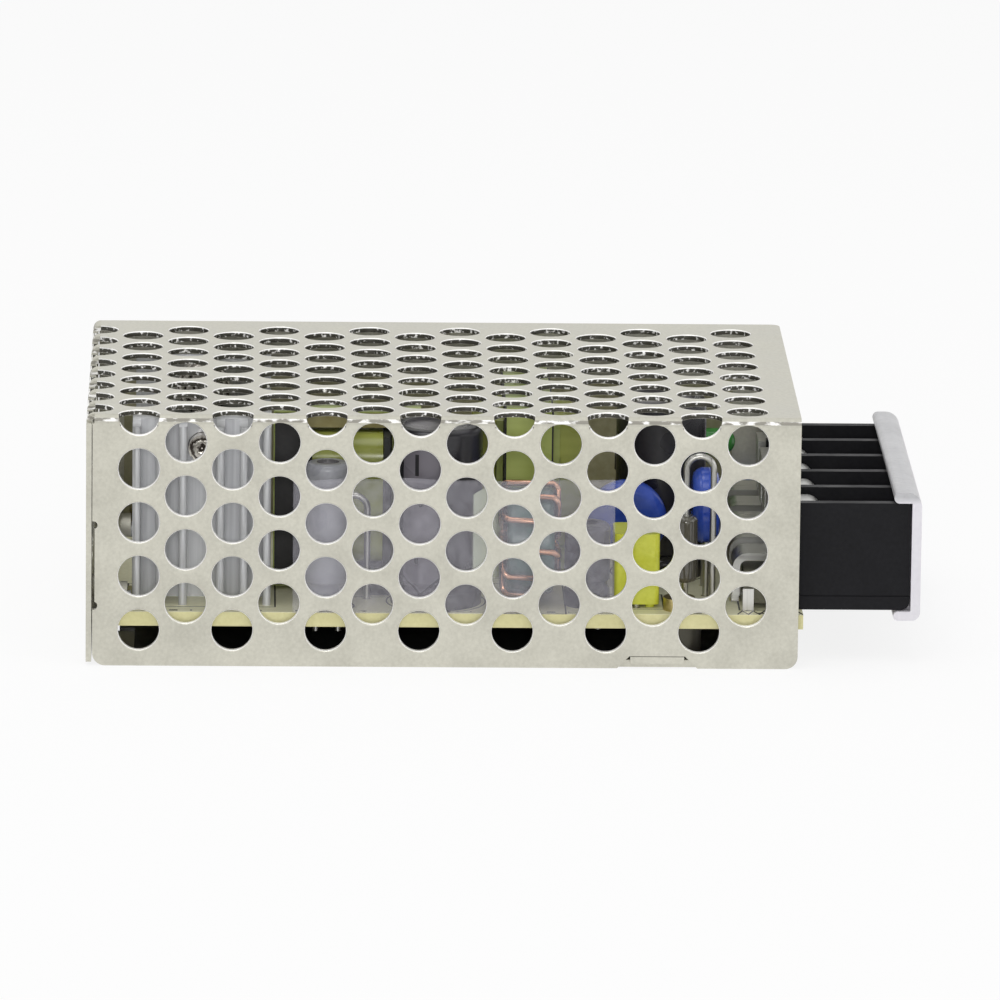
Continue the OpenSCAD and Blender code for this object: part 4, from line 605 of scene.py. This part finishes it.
def make_ringed_steel():
    """Turned and serrated screw ends: broken rings round each screw's axis, painted glints and painted
    shade in dark grooves standing in for the thread.
    """
    material, tree, shader, place = start("ringed_steel", Metallic=0.7)
    mid = box_mid("device_screws")[0]
    parts = add(tree, "SeparateXYZ", Vector=mapped(tree, place, place=(mid.x, 0, mid.z)))
    reach = radial(tree, parts.outputs["X"], parts.outputs["Z"])
    patchy_noise = add(tree, "TexNoise", {"Scale": 1300.0, "Detail": 2.0}, Vector=place)
    sway = 1.1 * MM
    ring_step = 0.42 * MM
    wander = calc(tree, "MULTIPLY", patchy_noise.outputs["Fac"], sway)
    ring = calc(tree, "PINGPONG", calc(tree, "DIVIDE", calc(tree, "ADD", reach, wander), ring_step), 1.0)
    glint_rings = spread(tree, ring, 0.25, 0.75, 0.0, 1.0)
    out = effect(tree, GRAIN, place, Light=srgb(236, 231, 222), Dark=srgb(200, 195, 186), Rough_Low=0.16,
                 Rough_High=0.3)
    # Painted shade in the dark rings and painted glints on the pale ones, in place of a modelled thread.
    color = mix(tree, glint_rings, srgb(78, 72, 66), out["Color"])
    join(tree, shader, color, out["Roughness"], glint_rings, 0.5, 0.1 * MM)
    return material


def make_milky():
    """Milky clear moulding: pale at the thick outer wall, greyer over the thin top lip."""
    material, tree, shader, place = start("milky_moulding", Transmission_Weight=0.15, IOR=1.45)
    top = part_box("terminal_cover")[1].z
    out = effect(tree, GRAIN, place, Light=srgb(246, 244, 249), Dark=srgb(236, 233, 240), Grain_Size=1500.0,
                 Blotch_Size=200.0, Rough_Low=0.28, Rough_High=0.42)
    lip = effect(tree, GRAIN, place, Light=srgb(206, 206, 208), Dark=srgb(188, 188, 190), Grain_Size=1500.0,
                 Blotch_Size=160.0)
    parts = add(tree, "SeparateXYZ", Vector=place)
    lip_begins = top - 1.3 * MM
    lip_full = top - 0.5 * MM
    thin = spread(tree, parts.outputs["Z"], lip_begins, lip_full, 0.0, 1.0)
    color = mix(tree, thin, out["Color"], lip["Color"])
    join(tree, shader, color, out["Roughness"], out["Height"], 0.06)
    return material


def make_lens():
    """Green lamp body, tinted through and a little cloudy."""
    material, tree, shader, place = start("green_lamp", Transmission_Weight=0.3, IOR=1.5)
    out = effect(tree, GRAIN, place, Light=srgb(96, 186, 92), Dark=srgb(70, 160, 74), Grain_Size=1500.0,
                 Blotch_Size=500.0, Rough_Low=0.12, Rough_High=0.22)
    join(tree, shader, out["Color"], out["Roughness"], out["Height"], 0.05)
    return material


materials = {
    "chassis_metal": make_chassis_sheet(),
    # On the cover, the near-white bare colour is a painted highlight, the dark wall colour is cut steel
    # with painted shade, and the grey crest colour is painted shade.
    "cover_metal": coated_sheet("coated_sheet", light=srgb(199, 197, 185), dark=srgb(183, 181, 169),
                                bare=srgb(252, 251, 248), sheared_and_shade=srgb(62, 60, 52),
                                crest_shade=srgb(150, 147, 138)),
    "screw_steel": lined("screw_steel", srgb(196, 197, 198), srgb(160, 161, 163), Metallic=1.0),
    "black_sheet": make_insulator(),
    "clear_film": make_film(),
    "board": printed_board("printed_board"),
    "board_screw": lined("brass_screw", srgb(205, 190, 138), srgb(170, 154, 104), Metallic=1.0),
    "black_moulding": grained("black_moulding", srgb(26, 26, 29), srgb(17, 17, 20), (0.42, 0.56),
                              grain=2200.0, blotch=400.0, bump=0.15, Specular_IOR_Level=0.14),
    "contact_metal": lined("tinned_contact", srgb(212, 212, 208), srgb(182, 182, 178), Metallic=1.0),
    "clamp_steel": lined("clamp_steel", srgb(216, 216, 212), srgb(186, 186, 182), (0, 0, 90), Metallic=1.0),
    "terminal_steel": lined("terminal_steel", srgb(220, 220, 216), srgb(190, 190, 186), Metallic=1.0),
    "milky_cover": make_milky(),
    "bare_aluminium": lined("bare_aluminium", srgb(228, 229, 231), srgb(200, 201, 204), (0, 90, 0),
                            rough=(0.3, 0.5), size=1500.0, Metallic=0.3),
    "black_epoxy": grained("black_epoxy", srgb(52, 52, 52), srgb(36, 36, 37), (0.4, 0.55)),
    "tinned_tab": lined("tinned_tab", srgb(196, 195, 190), srgb(164, 163, 158), (0, 90, 0), Metallic=1.0),
    "ferrite": grained("ferrite", srgb(44, 41, 40), srgb(28, 27, 27), (0.45, 0.65), grain=2600.0,
                       blotch=500.0, bump=0.3),
    "former": grained("coil_former", srgb(52, 54, 50), srgb(36, 38, 36), (0.4, 0.55)),
    "olive_tape": taped("olive_tape", srgb(176, 182, 92), srgb(140, 146, 60)),
    "lime_tape": taped("lime_tape", srgb(192, 204, 118), srgb(168, 182, 92)),
    "toroid_coating": grained("toroid_coating", srgb(84, 120, 112), srgb(48, 76, 72), (0.2, 0.36),
                              grain=1600.0, blotch=500.0, share=0.5, bump=0.3),
    "copper_wire": lined("copper_wire", srgb(222, 176, 148), srgb(188, 134, 104), rough=(0.18, 0.3),
                         stretch=0.1, Metallic=1.0),
    "black_sleeve": sleeved("black_sleeve", "input_capacitor", srgb(44, 43, 48), srgb(28, 27, 31),
                            stripe=srgb(108, 104, 112), stripe_at=-112.0, stripe_half=26.0),
    "dark_sleeve": sleeved("dark_sleeve", "output_capacitors", srgb(46, 46, 56), srgb(30, 30, 38)),
    "grey_sleeve": sleeved("grey_sleeve", "small_capacitor", srgb(166, 167, 172), srgb(140, 141, 148)),
    "lime_box": grained("lime_box", srgb(232, 236, 92), srgb(216, 221, 68), (0.25, 0.4), grain=2200.0),
    "blue_dip": grained("blue_dip", srgb(66, 98, 204), srgb(44, 72, 172), (0.12, 0.24), grain=900.0,
                        blotch=260.0, share=0.5, bump=0.2, depth=0.04 * MM),
    "resistor_coat": banded_resistor("resistor_coat", "lying_resistors", "X", BANDS),
    "tinned_wire": lined("tinned_wire", srgb(214, 213, 208), srgb(180, 179, 174), (0, 90, 0), Metallic=1.0),
    "green_lens": make_lens(),
    "trimmer_case": grained("trimmer_case", srgb(70, 112, 184), srgb(50, 90, 162), (0.28, 0.42)),
    "trimmer_dial": grained("trimmer_dial", srgb(236, 233, 220), srgb(220, 216, 202), (0.4, 0.55)),
}
tall_sleeve = sleeved("tall_sleeve", "filter_capacitor", srgb(44, 43, 48), srgb(28, 27, 31),
                      stripe=srgb(108, 104, 112), stripe_at=10.0, stripe_half=26.0)
upright_coat = banded_resistor("upright_coat", "upright_resistor", "Z", BANDS)

slots = {part["node"]: part["material_slot"] for part in frame["record"]["subparts"]}
special = {
    "filter_capacitor": tall_sleeve, "upright_resistor": upright_coat,
    "fuse": grained("fuse_coat", srgb(186, 172, 142), srgb(162, 146, 116), (0.4, 0.55)),
    "choke_former": make_choke_former(), "transformer_core": make_taped_yoke(),
    "device_screws": make_ringed_steel(),
    "upright_diode": lined("glassy_diode", srgb(120, 116, 104), srgb(44, 42, 38), (0, 90, 0),
                           rough=(0.08, 0.2), size=900.0, Coat_Weight=0.6),
    "optocoupler": grained("grey_epoxy", srgb(128, 126, 108), srgb(108, 106, 90), (0.4, 0.55)),
}
for name, obj in nodes.items():
    finish = special.get(name, materials[slots[name]])
    obj.data.materials.clear()
    obj.data.materials.append(finish)


# Pieces made here


def settle(name, bm, material, body):
    """Turns a finished bmesh into an object at the origin that rides on a body."""
    bmesh.ops.remove_doubles(bm, verts=bm.verts, dist=1e-7)
    bmesh.ops.recalc_face_normals(bm, faces=bm.faces)
    mesh = bpy.data.meshes.new(name)
    bm.to_mesh(mesh)
    bm.free()
    obj = bpy.data.objects.new(name, mesh)
    scene.collection.objects.link(obj)
    mesh.materials.append(material)
    for face in mesh.polygons:
        face.use_smooth = True
    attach(obj, body)
    return obj


def make_wavy_film():
    """The side film with its slight waves, a thin closed sheet."""
    low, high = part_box("side_film")
    bm = bmesh.new()
    bmesh.ops.create_grid(bm, x_segments=90, y_segments=30, size=0.5)
    bmesh.ops.scale(bm, vec=(high.x - low.x, high.z - low.z, 1), verts=bm.verts)
    bmesh.ops.rotate(bm, matrix=Matrix.Rotation(math.radians(90), 3, "X"), verts=bm.verts)
    middle = ((low.x + high.x) / 2, high.y - SKIN, (low.z + high.z) / 2)
    bmesh.ops.translate(bm, vec=middle, verts=bm.verts)
    lean, ripple = 0.045, 0.035
    dip, edge_wave = 0.16, 0.1
    for vert in bm.verts:
        rise = (vert.co.z - low.z) / (high.z - low.z)
        wave = math.sin(vert.co.x / MM * 0.31) + 0.6 * math.sin(vert.co.x / MM * 0.83 + 1.3)
        vert.co.y -= (lean + ripple * wave * rise) * MM
        vert.co.z -= (dip + edge_wave * wave) * MM * rise ** 6
    bmesh.ops.solidify(bm, geom=bm.faces[:], thickness=-FILM)
    obj = settle("wavy_film", bm, materials["clear_film"], "converter")
    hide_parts("side_film")


def make_rolled_rims():
    """The cover with the rolled edge that punching leaves round the mouth of each hole."""
    low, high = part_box("perforated_cover")
    bm = bmesh.new()
    bm.from_mesh(nodes["perforated_cover"].data)
    same = 1e-6
    sharp = math.radians(60)
    soft = math.radians(40)
    bmesh.ops.remove_doubles(bm, verts=bm.verts, dist=same)

    def outside(vert):
        """The outer faces that a point lies on."""
        found = set()
        if abs(vert.co.y - low.y) < same:
            found.add("front")
        if abs(vert.co.z - high.z) < same:
            found.add("top")
        if abs(vert.co.x - low.x) < same:
            found.add("end")
        return found

    def inland(vert):
        """Clear of the sheet's own outline, where only holes have edges."""
        along = low.x + 2.2 * MM < vert.co.x < high.x - MM or abs(vert.co.x - low.x) < same
        return along and vert.co.y < high.y - MM and vert.co.z > 1.6 * MM

    def is_rim(edge):
        """A sharp edge of a hole on the outer side of the sheet."""
        if len(edge.link_faces) != 2 or edge.calc_face_angle() <= sharp:
            return False
        first, last = edge.verts
        return bool(outside(first) & outside(last)) and inland(first) and inland(last)

    rims = [edge for edge in bm.edges if is_rim(edge)]
    bmesh.ops.bevel(bm, geom=rims, offset=RIM, offset_type="OFFSET", segments=3, profile=0.5,
                    affect="EDGES", material=-1, clamp_overlap=False)
    for edge in bm.edges:
        flat = [bool(set.intersection(*(outside(vert) for vert in face.verts))) for face in edge.link_faces]
        edge.smooth = len(flat) == 2 and flat[0] == flat[1] and edge.calc_face_angle() < soft
    obj = settle("rolled_rim_cover", bm, materials["cover_metal"], "converter")
    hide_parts("perforated_cover")


def sweep(name, points, radius, material, body):
    """A round wire along a row of points."""
    line = bpy.data.curves.new(name, "CURVE")
    line.dimensions = "3D"
    line.bevel_depth = radius
    line.bevel_resolution = 2
    line.use_fill_caps = True
    spline = line.splines.new("POLY")
    spline.points.add(len(points) - 1)
    for point, place in zip(spline.points, points):
        point.co = (*place, 1.0)
    holder = bpy.data.objects.new(name + "_path", line)
    bm = bmesh.new()
    bm.from_mesh(holder.to_mesh())
    holder.to_mesh_clear()
    bpy.data.objects.remove(holder)
    bpy.data.curves.remove(line)
    return settle(name, bm, material, body)


def make_toroid_wire():
    """Round wire wound through the ring core, both ends going down into the board."""
    mid, half = box_mid("toroid_core")
    wire = 0.35 * MM
    off = wire + 0.08 * MM
    outer, inner, side = half.y + off, half.y * TOROID_BORE - off, half.x + off
    turns, step, corner = 11, math.radians(30), 0.6 * MM
    section = []
    for cx, cr, begin in ((side, outer, 90), (side, inner, 0), (-side, inner, -90), (-side, outer, -180)):
        for i in range(5):
            angle = math.radians(begin - 90 * i / 4)
            section.append((cx - math.copysign(corner, cx) + corner * math.cos(angle),
                            cr - (corner if cr == outer else -corner) + corner * math.sin(angle)))
    section.append(section[0])
    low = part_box("toroid_winding")[0].z

    def at(x, reach, angle):
        """A point beside the core, at a reach from its axis and an angle round it."""
        return Vector((mid.x + x, mid.y + reach * math.sin(angle), mid.z - reach * math.cos(angle)))

    points = [at(0, outer, step)]
    points[0].z = low
    points.append(at(0, outer, step))
    for turn in range(turns - 1):
        for i, (x, reach) in enumerate(section[:-1]):
            points.append(at(x, reach, step * (turn + 1 + i / len(section))))
    points.append(at(0, outer, step * turns))
    points.append(at(0, outer, step * turns))
    points[-1].z = low
    obj = sweep("toroid_wire", points, wire, materials["copper_wire"], "converter")
    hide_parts("toroid_winding")


def make_cover_screws():
    """The flush cover screws with a cross recess in each head."""
    low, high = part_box("cover_screws")
    head = (high.z - low.z) / 2
    shank, recess, cells = 1.45 * MM, 0.9 * MM, 9
    arm, taper = 0.5, 0.72
    bm = bmesh.new()
    for middle in (low.y + head, high.y - head):
        screw = bmesh.new()
        bmesh.ops.create_grid(screw, x_segments=cells, y_segments=cells, size=head)
        for vert in screw.verts:
            across = max(abs(vert.co.x), abs(vert.co.y))
            vert.co *= across / max(vert.co.length, 1e-9)
        rim = [edge for edge in screw.edges if edge.is_boundary]
        cross = []
        for face in screw.faces:
            near, far = sorted(abs(value) for value in face.calc_center_median()[:2])
            if near < head / cells and far < arm * head:
                cross.append(face)
        sunk = bmesh.ops.extrude_face_region(screw, geom=cross)
        bmesh.ops.delete(screw, geom=cross, context="FACES_ONLY")
        floor = [item for item in sunk["geom"] if isinstance(item, bmesh.types.BMVert)]
        bmesh.ops.translate(screw, vec=(0, 0, -recess), verts=floor)
        bmesh.ops.scale(screw, vec=(taper, taper, 1), verts=floor)
        for radius, depth in ((shank / head, head - shank), (1, high.x - low.x - head + shank)):
            wall = bmesh.ops.extrude_edge_only(screw, edges=rim)["geom"]
            rim = [item for item in wall if isinstance(item, bmesh.types.BMEdge) and item.is_boundary]
            ring = [item for item in wall if isinstance(item, bmesh.types.BMVert)]
            bmesh.ops.translate(screw, vec=(0, 0, -depth), verts=ring)
            bmesh.ops.scale(screw, vec=(radius, radius, 1), verts=ring)
        bmesh.ops.contextual_create(screw, geom=rim)
        bmesh.ops.rotate(screw, matrix=Matrix.Rotation(math.radians(-90), 3, "Y"), verts=screw.verts)
        bmesh.ops.translate(screw, vec=(low.x, middle, (low.z + high.z) / 2), verts=screw.verts)
        for edge in screw.edges:
            edge.smooth = edge.calc_face_angle(math.pi) < math.radians(35)
        whole = bpy.data.meshes.new("screw_form")
        screw.to_mesh(whole)
        screw.free()
        bm.from_mesh(whole)
        bpy.data.meshes.remove(whole)
    slot = slots["cover_screws"]
    obj = settle("cross_screws", bm, materials[slot], "converter")
    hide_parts("cover_screws")


make_wavy_film()
make_rolled_rims()
make_toroid_wire()
make_cover_screws()


# Stage, light and camera


def make_floor():
    """Pale matt floor that reads as white, and is clear from below."""
    glow_share = 0.85
    reach = 3.0
    floor = bpy.data.meshes.new("floor")
    bm = bmesh.new()
    bmesh.ops.create_grid(bm, x_segments=1, y_segments=1, size=reach)
    bmesh.ops.translate(bm, vec=(0, 0, -SKIN), verts=bm.verts)
    bm.to_mesh(floor)
    bm.free()
    obj = bpy.data.objects.new("floor", floor)
    scene.collection.objects.link(obj)
    material = bpy.data.materials.new("pale_floor")
    material.use_nodes = True
    tree = material.node_tree
    tree.nodes.remove(tree.nodes["Principled BSDF"])
    matt = add(tree, "BsdfDiffuse", {"Color": (0.9, 0.9, 0.9, 1.0)})
    glow = add(tree, "Emission", {"Color": (1.0, 1.0, 1.0, 1.0), "Strength": 1.0})
    share = calc(tree, "MULTIPLY", seen_directly(tree), glow_share)
    blend = add(tree, "MixShader", Fac=share)
    tree.links.new(matt.outputs[0], blend.inputs[1])
    tree.links.new(glow.outputs[0], blend.inputs[2])
    upper = add(tree, "MixShader", Fac=add(tree, "NewGeometry").outputs["Backfacing"])
    tree.links.new(blend.outputs[0], upper.inputs[1])
    tree.links.new(add(tree, "BsdfTransparent").outputs[0], upper.inputs[2])
    tree.links.new(upper.outputs[0], tree.nodes["Material Output"].inputs["Surface"])
    floor.materials.append(material)


def make_world():
    """White surroundings where they are seen, dimmer as light."""
    world = bpy.data.worlds.new("studio")
    scene.world = world
    world.use_nodes = True
    tree = world.node_tree
    as_light, as_seen = 0.5, 1.0
    back = tree.nodes["Background"]
    back.inputs["Color"].default_value = (1.0, 1.0, 1.0, 1.0)
    tree.links.new(spread(tree, seen_directly(tree), 0.0, 1.0, as_light, as_seen), back.inputs["Strength"])


def make_lamp(name, place, aim, size, watts):
    """A soft rectangular lamp that points at a spot."""
    data = bpy.data.lights.new(name, "AREA")
    data.shape = "RECTANGLE"
    data.size, data.size_y = size
    data.energy = watts
    obj = bpy.data.objects.new(name, data)
    scene.collection.objects.link(obj)
    obj.location = place
    obj.rotation_euler = (Vector(aim) - Vector(place)).to_track_quat("-Z", "Y").to_euler()


def make_camera():
    """The photograph's viewpoint: a long lens, a little above and to the left of the middle."""
    yaw, pitch, roll = (math.radians(a) for a in (1.1055, 12.6388, 0.5911))
    picture, sensor = 1000.0, 36.0
    focal = 10400.0  # in pixels of the picture
    off_x, off_y = 60.9 / focal, -8.4 / focal
    distance = 1.1612
    ahead = Vector((math.sin(yaw) * math.cos(pitch), math.cos(yaw) * math.cos(pitch), -math.sin(pitch)))
    side = Vector((math.cos(yaw), -math.sin(yaw), 0.0))
    above = side.cross(ahead)
    rolled = side * math.cos(roll) + above * math.sin(roll)
    above = above * math.cos(roll) - side * math.sin(roll)
    place = Vector(MIDDLE) - ahead * distance
    look = (ahead + rolled * off_x + above * off_y).normalized()
    side = (rolled - look * rolled.dot(look)).normalized()
    above = side.cross(look)
    data = bpy.data.cameras.new("camera")
    data.sensor_width = sensor
    data.lens = focal * sensor / picture
    data.clip_start = 0.05
    obj = bpy.data.objects.new("camera", data)
    scene.collection.objects.link(obj)
    turn = Matrix((side, above, -look)).transposed()
    obj.matrix_world = Matrix.Translation(place) @ turn.to_4x4()
    scene.camera = obj


make_floor()
make_world()
make_lamp("top_softbox", place=(-0.15, -0.1, 0.75), aim=(0, 0, 0), size=(0.7, 0.6), watts=2.6)
make_lamp("front_softbox", place=(-0.04, -1.3, 0.33), aim=MIDDLE, size=(0.26, 0.22), watts=3.4)
make_lamp("side_fill", place=(0.7, -0.35, 0.35), aim=MIDDLE, size=(0.5, 0.5), watts=1.0)
make_camera()
scene.view_settings.view_transform = "Standard"
